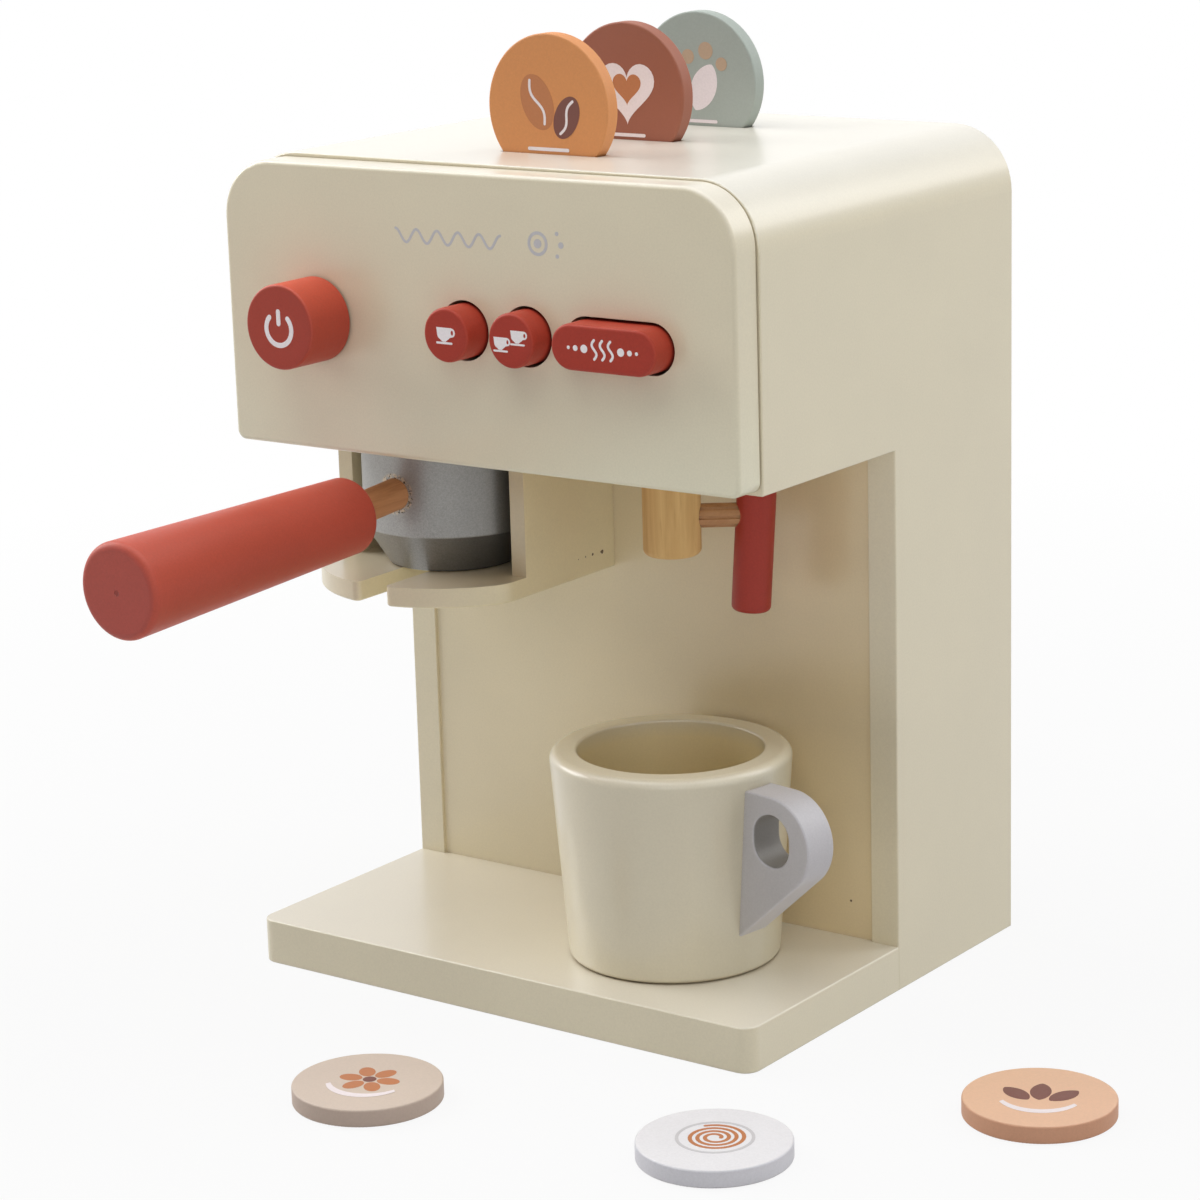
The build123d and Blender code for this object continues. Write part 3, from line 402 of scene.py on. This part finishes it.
# The head's floor is a lighter copy of the cream: painted light.
finish_nodes(cream_coat("head_floor_lacquer", shade(235, 223, 194)), "head_floor")


# Hidden boards. The cleats and the spring board are bare fibreboard, and the button flanges and the
# knob's retainer are sawn from thin plywood.
def bare_board(name, pale, dark, scale):
    """Unpainted board: short mixed fibres, matt."""
    material, tree, shader = start_material(name)
    place = object_place(tree)
    fibre = noise(tree, place, scale, 5.0, 0.7, 0.6)
    tone = mix_colour(tree, remap(tree, fibre, 0.3, 0.7), dark, pale)
    tree.links.new(tone, shader.inputs["Base Color"])
    tree.links.new(remap(tree, fibre, 0.0, 1.0, 0.95, 0.75), shader.inputs["Roughness"])
    raise_height(tree, shader, fibre, 0.0001)
    return material


finish_nodes(bare_board("bare_fibreboard", shade(176, 142, 104), shade(134, 102, 72), 420.0),
             "spring_board", "back_cleat_left", "back_cleat_right")
finish_nodes(bare_board("bare_plywood", shade(214, 182, 136), shade(184, 146, 100), 180.0),
             "knob_retainer", "single_cup_button_flange", "double_cup_button_flange", "steam_button_flange")


# Bare wood. The wand's stub is turned from a pale close-grained wood, and the portafilter's neck and
# the dowels are bought hardwood rod. None of it is painted; it is sanded and left dry.
def grain_group():
    """Long fibres along Z of the vector it is given: streaks, fine pores and a slow change of tone."""
    tree, given, result = start_group("wood_grain", [
        ("Vector", "NodeSocketVector", (0.0, 0.0, 0.0)),
        ("Pale", "NodeSocketColor", (0.8, 0.6, 0.4, 1.0)),
        ("Dark", "NodeSocketColor", (0.6, 0.4, 0.2, 1.0)),
        ("Fineness", "NodeSocketFloat", 260.0),
    ], [("Colour", "NodeSocketColor"), ("Roughness", "NodeSocketFloat"), ("Height", "NodeSocketFloat")])
    stretched = add_node(tree, "ShaderNodeVectorMath", {0: given.outputs["Vector"], 1: (1.0, 1.0, 0.07)},
                         operation="MULTIPLY").outputs["Vector"]
    streaks = noise(tree, stretched, given.outputs["Fineness"], 4.0, 0.6, 0.5)
    bands = noise(tree, stretched, calculate(tree, "MULTIPLY", given.outputs["Fineness"], 0.25), 2.0)
    pore_scale = calculate(tree, "MULTIPLY", given.outputs["Fineness"], 4.0)
    pores = remap(tree, noise(tree, stretched, pore_scale, 2.0), 0.62, 0.75)
    share = calculate(tree, "MULTIPLY_ADD", bands, 0.6, calculate(tree, "MULTIPLY", streaks, 0.6))
    tone = mix_colour(tree, remap(tree, share, 0.42, 0.78), given.outputs["Pale"], given.outputs["Dark"])
    tone = mix_colour(tree, calculate(tree, "MULTIPLY", pores, 0.5), tone, given.outputs["Dark"])
    roughness = remap(tree, streaks, 0.2, 0.8, 0.55, 0.72)
    height = calculate(tree, "SUBTRACT", streaks, calculate(tree, "MULTIPLY", pores, 0.6))
    return finish_group(tree, result, {"Colour": tone, "Roughness": roughness, "Height": height})


wood_grain = grain_group()


def bare_wood(name, pale, dark, fineness, turn=(0.0, 0.0, 0.0), relief=0.00008, end_tone=0.25):
    """Dry sanded wood; turn lays its fibres along the piece, in degrees."""
    material, tree, shader = start_material(name)
    place = object_place(tree)
    laid = add_node(tree, "ShaderNodeMapping", {"Vector": place, "Rotation": [math.radians(a) for a in turn]})
    wood = use_group(tree, wood_grain, {
        "Vector": laid.outputs["Vector"], "Pale": pale, "Dark": dark, "Fineness": fineness})
    edge = use_group(tree, eased_edge, {"Reach": 0.0015, "Brokenness": 0.3})["Edge"]
    paler = [min(1.0, channel * 1.12) for channel in pale[:3]] + [1.0]
    tone = mix_colour(tree, calculate(tree, "MULTIPLY", edge, end_tone), wood["Colour"], paler)
    # Corners and joints are darkened towards dark brown: dust and painted shade.
    corner_dust_and_shade = use_group(tree, joint_dust_and_shade, {"Reach": 0.002})["Dust"]
    tone = mix_colour(tree, calculate(tree, "MULTIPLY", corner_dust_and_shade, 0.6), tone, shade(70, 46, 28))
    tree.links.new(tone, shader.inputs["Base Color"])
    tree.links.new(wood["Roughness"], shader.inputs["Roughness"])
    raise_height(tree, shader, wood["Height"], relief)
    return material


finish_nodes(bare_wood("turned_pale_wood", shade(239, 202, 137), shade(206, 160, 98), 330.0), "wand_stub")
finish_nodes(bare_wood("neck_dowel_wood", shade(210, 150, 102), shade(162, 102, 62), 420.0, (90.0, 0.0, 0.0)),
             "portafilter_neck")
along_arm = (0.0, -90.0, -36.0)
finish_nodes(bare_wood("cross_dowel_wood", shade(207, 161, 116), shade(172, 122, 80), 300.0, along_arm),
             "wand_arm")
finish_nodes(bare_wood("assembly_dowel_wood", shade(214, 170, 122), shade(172, 124, 84), 400.0),
             "top_board_dowels", "base_dowels", "head_floor_dowels", "front_panel_dowels",
             "recess_panel_dowels", "knob_axle", "single_cup_button_stem", "double_cup_button_stem",
             "steam_button_stem", "mug_handle_pins")


# Red pieces. The knob, the three buttons, the wand's rod and the portafilter's grip are turned or
# sawn from beech and dipped in a matt brick-red paint, a shade paler along the edges, partly where they
# are sanded and partly as a painted highlight. Front faces are painted darker as painted shade, and the
# knob's top paler as painted light.
def red_paint(name, colour, shaded_face_colour, specular, dimple=None, lit_top_colour=None):
    """The dipped red, darker on a front face as painted shade and, if given, paler above as painted light.

    dimple is the place of the lathe centre's small hollow, which is also painted darker as painted shade.
    """
    material, tree, shader = start_material(name)
    paint = use_group(tree, lacquer, {
        "Colour": colour, "Cloudiness": 0.20, "Sheen Loss": 0.46, "Peel Size": 520.0})
    # Front faces darker: painted shade. Tops paler: painted light.
    front = facing(tree, forwards, 0.75, 0.95)
    tone = mix_colour(tree, front, paint["Colour"], scaled(tree, paint["Colour"], colour, shaded_face_colour))
    if lit_top_colour:
        top = facing(tree, upwards, 0.2, 0.95)
        tone = mix_colour(tree, top, tone, scaled(tree, tone, colour, lit_top_colour))
    # Edges paler: partly sanded wear and partly a painted highlight.
    edge = use_group(tree, eased_edge, {"Reach": 0.0009, "Brokenness": 0.6})["Edge"]
    tone = mix_colour(tree, calculate(tree, "MULTIPLY", edge, 0.55), tone, shade(222, 128, 104))
    # Corners and joints are darkened towards dark red: dust and painted shade.
    corner_dust_and_shade = use_group(tree, joint_dust_and_shade, {"Reach": 0.002})["Dust"]
    tone = mix_colour(tree, calculate(tree, "MULTIPLY", corner_dust_and_shade, 0.5), tone, shade(84, 28, 22))
    height = paint["Height"]
    if dimple:
        # The hollow is pressed in and painted darker: painted shade.
        hollow = use_group(tree, paint_nick, {"Place": dimple, "Reach": 0.0008})["Nick"]
        tone = mix_colour(tree, calculate(tree, "MULTIPLY", hollow, 0.55), tone, shade(120, 44, 36))
        height = calculate(tree, "MULTIPLY_ADD", hollow, -6.0, height)
    tree.links.new(tone, shader.inputs["Base Color"])
    tree.links.new(paint["Roughness"], shader.inputs["Roughness"])
    shader.inputs["Specular IOR Level"].default_value = specular
    raise_height(tree, shader, height, 0.00006)
    return material


finish_nodes(red_paint("button_red_paint", shade(179, 65, 47), shade(172, 60, 45), 0.25),
             "single_cup_button", "double_cup_button", "steam_button")
finish_nodes(red_paint("knob_red_paint", shade(178, 67, 48), shade(165, 57, 40), 0.4,
                       lit_top_colour=shade(203, 80, 56)), "knob")
finish_nodes(red_paint("rod_red_paint", shade(170, 58, 46), shade(170, 58, 46), 0.3), "wand_rod")
grip_low, grip_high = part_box("portafilter_grip")
grip_end_radius = 0.0135
grip_end = ((grip_low.x + grip_high.x) / 2, grip_low.y, grip_low.z + grip_end_radius)
finish_nodes(red_paint("grip_red_paint", shade(187, 79, 60), shade(180, 80, 68), 0.35, grip_end),
             "portafilter_grip")


# Printed marks. Thin opaque ink, screen-printed on the knob, the buttons and the front panel: the usual
# signs for power, one cup, two cups and steam, and plain ornaments of a wave and a ring over the buttons.
# They are drawn in millimetres, as is the depth of the ink and the step from one layer to the next.
ink_depth = 0.05
ink_step = 0.02


def arc(x, y, radius, start, end, steps=18):
    """Points on a circle from one angle to another, in degrees."""
    angles = [math.radians(start + (end - start) * i / steps) for i in range(steps + 1)]
    return [(x + radius * math.cos(a), y + radius * math.sin(a)) for a in angles]


def oval(x, y, half_width, half_height, turn=0.0, steps=44):
    """A closed oval, turned about its own middle."""
    swing = Matrix.Rotation(math.radians(turn), 2)
    rounds = [math.tau * i / steps for i in range(steps)]
    spots = [swing @ Vector((half_width * math.cos(a), half_height * math.sin(a))) for a in rounds]
    return [(x + spot.x, y + spot.y) for spot in spots]


def stroke(path, width):
    """The outline of a pen stroke of one width along a path, with round ends."""
    spots = [Vector(spot) for spot in path]
    last = len(spots) - 1
    ahead = [(spots[min(i + 1, last)] - spots[max(i - 1, 0)]).normalized() for i in range(last + 1)]
    aside = [direction.orthogonal() * width / 2 for direction in ahead]
    left = [tuple(spot + side) for spot, side in zip(spots, aside)]
    right = [tuple(spot - side) for spot, side in zip(spots, aside)]
    end_turn = math.degrees(math.atan2(aside[last].y, aside[last].x))
    start_turn = math.degrees(math.atan2(-aside[0].y, -aside[0].x))
    end_cap = arc(*spots[last], width / 2, end_turn, end_turn - 180.0, 8)[1:-1]
    start_cap = arc(*spots[0], width / 2, start_turn, start_turn - 180.0, 8)[1:-1]
    return left + end_cap + right[::-1] + start_cap


def moved(outlines, x, y, size=1.0):
    """Outlines at another place and size."""
    return [[(x + size * u, y + size * v) for u, v in outline] for outline in outlines]


def facing_front(origin):
    """A sheet of paper that stands at a place: X across, Y up and Z towards the front."""
    return Matrix.Translation(origin) @ Matrix(((1, 0, 0), (0, 0, -1), (0, 1, 0))).to_4x4()


def front_of(name):
    """Such a sheet at the middle of a node's front face."""
    low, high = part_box(name)
    return facing_front(((low.x + high.x) / 2, low.y, (low.z + high.z) / 2))


def printed_mark(name, outlines, ink, face, body, layer=0):
    """Ink on a face: closed outlines in millimetres, one inside another for a hole."""
    drawing = bpy.data.curves.new(name, "CURVE")
    drawing.dimensions = "2D"
    drawing.fill_mode = "BOTH"
    drawing.extrude = ink_depth / 2
    for outline in outlines:
        line = drawing.splines.new("POLY")
        line.points.add(len(outline) - 1)
        for spot, (x, y) in zip(line.points, outline):
            spot.co = (x, y, 0.0, 1.0)
        line.use_cyclic_u = True
    mark = bpy.data.objects.new(name, drawing)
    bpy.context.scene.collection.objects.link(mark)
    bpy.ops.object.select_all(action="DESELECT")
    mark.select_set(True)
    bpy.context.view_layer.objects.active = mark
    bpy.ops.object.convert(target="MESH")
    mark = bpy.context.active_object
    bpy.ops.object.mode_set(mode="EDIT")
    bpy.ops.mesh.select_all(action="SELECT")
    bpy.ops.mesh.remove_doubles(threshold=0.0005)
    bpy.ops.mesh.normals_make_consistent(inside=False)
    bpy.ops.object.mode_set(mode="OBJECT")
    lift = Matrix.Translation((0.0, 0.0, ink_step * (layer + 1)))
    mark.data.transform(face @ Matrix.Scale(0.001, 4) @ lift)
    mark.data.materials.clear()
    mark.data.materials.append(ink)
    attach(mark, body)


def printing_ink(name, colour):
    """Screen-printed ink: matt, a little uneven, thin enough for the paint's texture to show."""
    material, tree, shader = start_material(name)
    film = use_group(tree, lacquer, {
        "Colour": colour, "Cloudiness": 0.12, "Sheen Loss": 0.5, "Peel Size": 900.0})
    tree.links.new(film["Colour"], shader.inputs["Base Color"])
    tree.links.new(film["Roughness"], shader.inputs["Roughness"])
    raise_height(tree, shader, film["Height"], 0.00002)
    return material


white_ink = printing_ink("white_ink", shade(252, 247, 249))
grey_ink = printing_ink("grey_ink", shade(200, 198, 201))

power_sign = [stroke(arc(0.0, -0.5, 4.65, 136.5, 403.5, 48), 1.5), stroke([(0.0, 1.1), (0.0, 4.5)], 1.5)]
printed_mark("knob_power_sign", power_sign, white_ink, front_of("knob"), "knob")

cup_sign = [
    [(-3.3, 2.2), (1.8, 2.2)] + arc(1.9, 0.85, 1.3, 80.0, -62.0) + arc(0.0, 0.35, 1.6, -35.0, -68.0, 6)
    + [(-0.2, -1.75), (-1.4, -1.75)] + arc(-1.5, 0.35, 1.6, -112.0, -165.0, 8),
    oval(2.15, 0.85, 0.42, 0.68, 0.0, 24),
    stroke([(-3.2, -2.15), (1.9, -2.15)], 0.62)]
printed_mark("single_cup_sign", moved(cup_sign, 0.3, 0.0), white_ink, front_of("single_cup_button"),
             "single_cup_button")
two_cups = moved(cup_sign, -2.8, -1.1, 0.88) + moved(cup_sign, 3.1, 1.1, 0.88)
printed_mark("double_cup_sign", two_cups, white_ink, front_of("double_cup_button"), "double_cup_button")

steam_wisp = [(0.75 * math.sin(math.tau * i / 20), 5.2 * (i / 20 - 0.5)) for i in range(21)]
steam_sign = [outline for x in (-2.7, 0.0, 2.7) for outline in moved([stroke(steam_wisp, 0.75)], x, 0.0)]
bubbles = ((6.1, 1.15), (9.0, 0.8), (11.3, 0.5))
steam_sign += [oval(side * x, 0.0, size, size, 0.0, 24) for side in (-1, 1) for x, size in bubbles]
printed_mark("steam_sign", steam_sign, white_ink, front_of("steam_button"), "steam_button")

panel_low, panel_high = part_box("front_panel")
panel_face = facing_front((0.0, panel_low.y, panel_high.z))
ornament_drop = -19.0
wave = [(37.0 * (i / 96 - 0.5), 1.9 * math.cos(math.tau * 5 * i / 96)) for i in range(97)]
printed_mark("panel_wave", moved([stroke(wave, 0.75)], -7.0, ornament_drop), grey_ink, panel_face, "housing")
ring_sign = [oval(0.0, 0.0, 3.4, 3.4), oval(0.0, 0.0, 2.5, 2.5), oval(0.0, 0.0, 1.3, 1.3, 0.0, 28),
             oval(6.6, 3.1, 0.6, 0.6, 0.0, 20), oval(7.9, 0.0, 0.9, 0.9, 0.0, 24),
             oval(6.6, -3.1, 0.6, 0.6, 0.0, 20)]
printed_mark("panel_ring", moved(ring_sign, 24.4, ornament_drop + 0.6), grey_ink, panel_face, "housing")


# Portafilter cup. Turned wood in metallic grey paint: fine flakes, a soft edge above the chamfer with
# its edges painted paler as a painted highlight, and paint that has chipped in a ring where the neck was
# driven in. The paint is darker towards the right and at the back, most of all on the chamfer: painted shade.
cup_low, cup_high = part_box("portafilter_cup")
neck_low, neck_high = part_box("portafilter_neck")
cup_middle = (cup_low + cup_high) / 2
cup_radius = (cup_high.x - cup_low.x) / 2
neck_radius = (neck_high.x - neck_low.x) / 2
neck_above_seam = 0.0245
chips_start = 0.0011
chips_end = 0.0017
across_cup = Vector((0.81, 0.586, 0.0))
painted_shade_steps = ((-0.5, -0.15, 0.25), (-0.15, 1.0, 0.28), (0.60, 0.80, 0.40))


def silver_paint():
    """Grey paint with flakes, darkened across the cup as painted shade by steps of (start, end, share), in
    radii from its middle.
    """
    material, tree, shader = start_material("silver_grey_paint")
    place = object_place(tree)
    paint = use_group(tree, lacquer, {
        "Colour": shade(163, 162, 159), "Cloudiness": 0.24, "Sheen Loss": 0.42, "Peel Size": 800.0})
    flakes = add_node(tree, "ShaderNodeTexVoronoi", {"Vector": place, "Scale": 3400.0}).outputs["Color"]
    flake = add_node(tree, "ShaderNodeSeparateColor", {"Color": flakes}).outputs[0]
    glint = remap(tree, flake, 0.0, 1.0, 0.90, 1.10)
    tone = add_node(tree, "ShaderNodeHueSaturation", {"Value": glint, "Color": paint["Colour"]}).outputs[0]
    # Edges painted paler: a painted highlight.
    edge = use_group(tree, eased_edge, {"Reach": 0.0014, "Brokenness": 0.4})["Edge"]
    tone = mix_colour(tree, calculate(tree, "MULTIPLY", edge, 0.4), tone, shade(188, 186, 183))
    # Painted shade: darker towards the right and the back, and on the chamfer.
    across = measure(tree, "DOT_PRODUCT", place, across_cup)
    middle = cup_middle.dot(across_cup)
    painted_shade = 0.0
    for start, end, share in painted_shade_steps:
        step = remap(tree, across, middle + start * cup_radius, middle + end * cup_radius, 0.0, share)
        painted_shade = calculate(tree, "ADD", step, painted_shade)
    chamfer = facing(tree, downwards, 0.3, 0.6)
    chamfer_painted_shade = remap(tree, across, middle - 0.4 * cup_radius, middle + 0.3 * cup_radius, 0.32, 0.88)
    painted_shade = calculate(tree, "MAXIMUM", painted_shade, calculate(tree, "MULTIPLY", chamfer, chamfer_painted_shade))
    tone = mix_colour(tree, painted_shade, tone, shade(40, 40, 37))
    neck_end = (cup_middle.x, cup_low.y, fork_seam_z + neck_above_seam)
    from_neck = measure(tree, "DISTANCE", place, neck_end)
    ring = remap(tree, from_neck, neck_radius + chips_end, neck_radius + chips_start)
    chips = remap(tree, noise(tree, place, 800.0, 3.0, 0.7), 0.44, 0.56)
    tone = mix_colour(tree, calculate(tree, "MULTIPLY", ring, chips), tone, shade(206, 190, 166))
    bare = remap(tree, noise(tree, place, 1100.0, 2.0, 0.6, 0.8), 0.56, 0.62)
    tone = mix_colour(tree, calculate(tree, "MULTIPLY", ring, bare), tone, shade(66, 58, 50))
    tree.links.new(tone, shader.inputs["Base Color"])
    tree.links.new(paint["Roughness"], shader.inputs["Roughness"])
    shader.inputs["Metallic"].default_value = 0.6
    raise_height(tree, shader, paint["Height"], 0.00004)
    return material


finish_nodes(silver_paint(), "portafilter_cup")


# Mug. The body is turned, with thick walls, and dipped in ivory gloss. Inside it is painted warmer as
# painted bounce light; outside it is painted paler on faces that look up as painted light, and darker on
# faces that look right and to the front right as painted shade. The flat handle is sawn from board,
# sprayed a cool pale grey and glued on against two pins. Its edges are painted paler as a painted
# highlight, its front face darker and its finger hole much darker as painted shade.
mug_low, mug_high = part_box("mug_body")
mug_middle = (mug_low + mug_high) / 2
mug_bore_reach = 0.0275
handle_face = (-0.17, -0.985, 0.0)
handle_hole = (0.0783, -0.0366, 0.05765)
handle_hole_reach = 0.0095
# The body: painted light above, painted shade on the right and front right, painted bounce light inside.
finish_nodes(lacquered(
    "ivory_gloss", shade(228, 219, 192), None, 0.40,
    cloudiness=0.08, dust=0.5, peel=420.0, relief=0.00002, coat=0.8,
    turned=[(shade(240, 232, 208), upwards, 0.1, 0.8),
            (shade(222, 213, 188), (0.586, -0.81, 0.0), 0.2, 0.9),
            (shade(216, 208, 183), (1.0, 0.0, 0.0), 0.7, 1.0)],
    hollow=(shade(242, 226, 180), mug_middle, mug_bore_reach, 0.0, downwards)), "mug_body")
# The handle: edges paler as a painted highlight, front face darker and finger hole much darker as painted
# shade.
finish_nodes(lacquered(
    "cool_grey_lacquer", shade(202, 200, 204), shade(222, 220, 224), 0.46,
    cloudiness=0.14, dust=1.8, reach=0.0009,
    turned=[(shade(195, 192, 193), handle_face, 0.8, 0.98)],
    hollow=(shade(140, 136, 131), handle_hole, handle_hole_reach, 1.0, handle_face)), "mug_handle")


# Tokens. Discs sawn from thin board and painted on all sides, with a picture stamped on one face in
# two or three inks. Three stand in the slots of the top board and three lie on the table.
def token_paint(name, colour, edge_colour, turned=()):
    """Matt paint, paler where the edge is sanded."""
    return lacquered(name, colour, edge_colour, 0.55, cloudiness=0.12, dust=0.35, peel=420.0, relief=0.00005,
                     reach=0.0011, turned=turned)


def lying_token_paint(name, colour, shaded_rim_colour):
    """Paint on a token that lies flat: its rim, which does not look up, is painted darker than its top as
    painted shade.
    """
    return token_paint(name, shaded_rim_colour, None, [(colour, upwards, 0.5, 0.95)])


finish_nodes(token_paint("ochre_paint", shade(213, 142, 85), shade(224, 162, 106)), "token_ochre")
finish_nodes(token_paint("brick_paint", shade(152, 90, 68), shade(178, 116, 90)), "token_brick")
finish_nodes(token_paint("sage_paint", shade(165, 174, 167), shade(184, 192, 184)), "token_sage")
finish_nodes(lying_token_paint("beige_paint", shade(208, 192, 178), shade(194, 174, 160)), "token_beige")
finish_nodes(lying_token_paint("white_paint", shade(228, 227, 230), shade(222, 221, 227)), "token_white")
finish_nodes(lying_token_paint("peach_paint", shade(226, 184, 154), shade(212, 158, 126)), "token_peach")

caramel_ink = printing_ink("caramel_ink", shade(186, 118, 74))
dark_ink = printing_ink("dark_brown_ink", shade(112, 64, 54))
pale_ink = printing_ink("pale_ink", shade(238, 228, 230))
tan_ink = printing_ink("tan_ink", shade(190, 164, 138))


def bean(x, y, half_width, half_height, turn):
    """A bean and the crease along it: two outlines."""
    swing = Matrix.Rotation(math.radians(turn), 2)
    bend = 0.2 * half_width
    half_crease = half_height * 0.8
    crease = [swing @ Vector((bend * math.sin(math.tau * t / 16), half_crease * (t / 8 - 1)))
              for t in range(17)]
    return oval(x, y, half_width, half_height, turn), stroke([(x + c.x, y + c.y) for c in crease], 0.8)


def heart(x, y, size, steps=48):
    """A closed heart about as wide as its size."""
    turns = [math.tau * i / steps for i in range(steps)]
    return [(x + size / 2 * math.sin(t) ** 3,
             y + size / 32 * (13 * math.cos(t) - 5 * math.cos(2 * t) - 2 * math.cos(3 * t) - math.cos(4 * t)))
            for t in turns]


def leaf(x, y, length, width, turn):
    """A pointed leaf that stands on its stalk end."""
    swing = Matrix.Rotation(math.radians(turn), 2)
    rounds = [math.tau * i / 40 for i in range(40)]
    spots = [swing @ Vector((width / 2 * math.sin(a) * abs(math.sin(a)) ** 0.4, -length / 2 * math.cos(a)))
             for a in rounds]
    return [(x + spot.x, y + spot.y) for spot in spots]


def spiral(x, y, start, pitch, degrees):
    """Points on a spiral that starts at one radius and widens by its pitch at each turn."""
    steps = [(math.radians(t), start + pitch * t / 360) for t in range(0, degrees + 1, 12)]
    return [(x + radius * math.cos(a), y + radius * math.sin(a)) for a, radius in steps]


def lying_face(name, turn):
    """The top of a lying token, with the picture's own turn in degrees."""
    low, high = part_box(name)
    middle = Vector(((low.x + high.x) / 2, (low.y + high.y) / 2, high.z))
    return Matrix.Translation(middle) @ Matrix.Rotation(math.radians(turn), 4, "Z")


saucer_line = stroke([(-6.8, -11.6), (6.8, -11.6)], 1.0)
big_bean, big_crease = bean(-3.6, 1.6, 5.4, 8.2, 22.0)
small_bean, small_crease = bean(6.6, -2.4, 4.1, 6.4, -26.0)
petals = [oval(5.6 * math.cos(math.radians(a)), 1.5 + 5.6 * math.sin(math.radians(a)), 3.3, 2.3, a)
          for a in range(0, 360, 60)]
drops = [leaf(x, y, length, width, turn) for x, y, length, width, turn in
         ((-6.4, 1.4, 10.5, 5.6, 42.0), (0.0, 3.4, 11.5, 5.8, 0.0), (6.4, 1.4, 10.5, 5.6, -42.0))]
berries = [oval(-3.0, 7.5, 2.2, 2.2), oval(3.4, 9.4, 2.6, 2.6), oval(9.0, 5.6, 2.0, 2.0)]
crescent = arc(0.0, 0.0, 11.5, 205.0, 335.0, 30) + arc(0.0, 2.2, 11.2, 328.0, 212.0, 30)

for token, face, prints in (
        ("token_ochre", front_of("token_ochre"), (
            ("beans", [big_bean], caramel_ink), ("dark_bean", [small_bean], dark_ink),
            ("creases", [big_crease, small_crease], pale_ink), ("saucer", [saucer_line], pale_ink))),
        ("token_brick", front_of("token_brick"), (
            ("heart", [heart(1.0, 1.8, 19.5)], pale_ink),
            ("small_heart", [heart(1.0, 2.3, 10.0)], caramel_ink),
            ("saucer", [saucer_line], pale_ink))),
        ("token_sage", front_of("token_sage"), (
            ("leaf", [leaf(2.5, -1.5, 15.0, 9.0, -24.0)], pale_ink),
            ("berries", berries, tan_ink),
            ("saucer", [saucer_line], pale_ink))),
        ("token_beige", lying_face("token_beige", 16.0), (
            ("petals", petals, caramel_ink), ("heart", [oval(0.0, 1.5, 1.9, 1.9)], dark_ink),
            ("arc", [crescent], pale_ink))),
        ("token_white", lying_face("token_white", 22.0), (
            ("swirl", [stroke(spiral(0.0, 1.0, 1.6, 2.0, 1200), 1.1)], caramel_ink),
            ("ring", [oval(0.0, 1.0, 10.6, 10.6), oval(0.0, 1.0, 9.7, 9.7)], grey_ink))),
        ("token_peach", lying_face("token_peach", 24.0), (
            ("leaves", drops, dark_ink), ("crescent", [crescent], pale_ink)))):
    for layer, (label, outlines, ink) in enumerate(prints):
        printed_mark(f"{token}_{label}", outlines, ink, face, token, layer)


# Metal. The screws, the brads and the wand's washer are zinc plated, and the springs are wound from
# plain drawn wire. Only the back panel's screws and the brads under the fork show.
def bright_metal(name, colour, roughness, scratch_scale):
    """Bare or plated metal with fine random scratches."""
    material, tree, shader = start_material(name)
    place = object_place(tree)
    scratches = noise(tree, place, scratch_scale, 4.0, 0.7, 0.4)
    tone = mix_colour(tree, scratches, colour, [channel * 0.8 for channel in colour[:3]] + [1.0])
    tree.links.new(tone, shader.inputs["Base Color"])
    tree.links.new(remap(tree, scratches, 0.2, 0.8, roughness, roughness + 0.2), shader.inputs["Roughness"])
    shader.inputs["Metallic"].default_value = 1.0
    raise_height(tree, shader, scratches, 0.00001)
    return material


finish_nodes(bright_metal("zinc_plate", shade(196, 198, 200), 0.28, 1400.0),
             "back_panel_screws", "holder_brads", "knob_screw", "wand_pivot_screw", "wand_pivot_washer")
finish_nodes(bright_metal("spring_wire", shade(178, 180, 184), 0.32, 2200.0),
             "single_cup_button_spring", "double_cup_button_spring", "steam_button_spring")
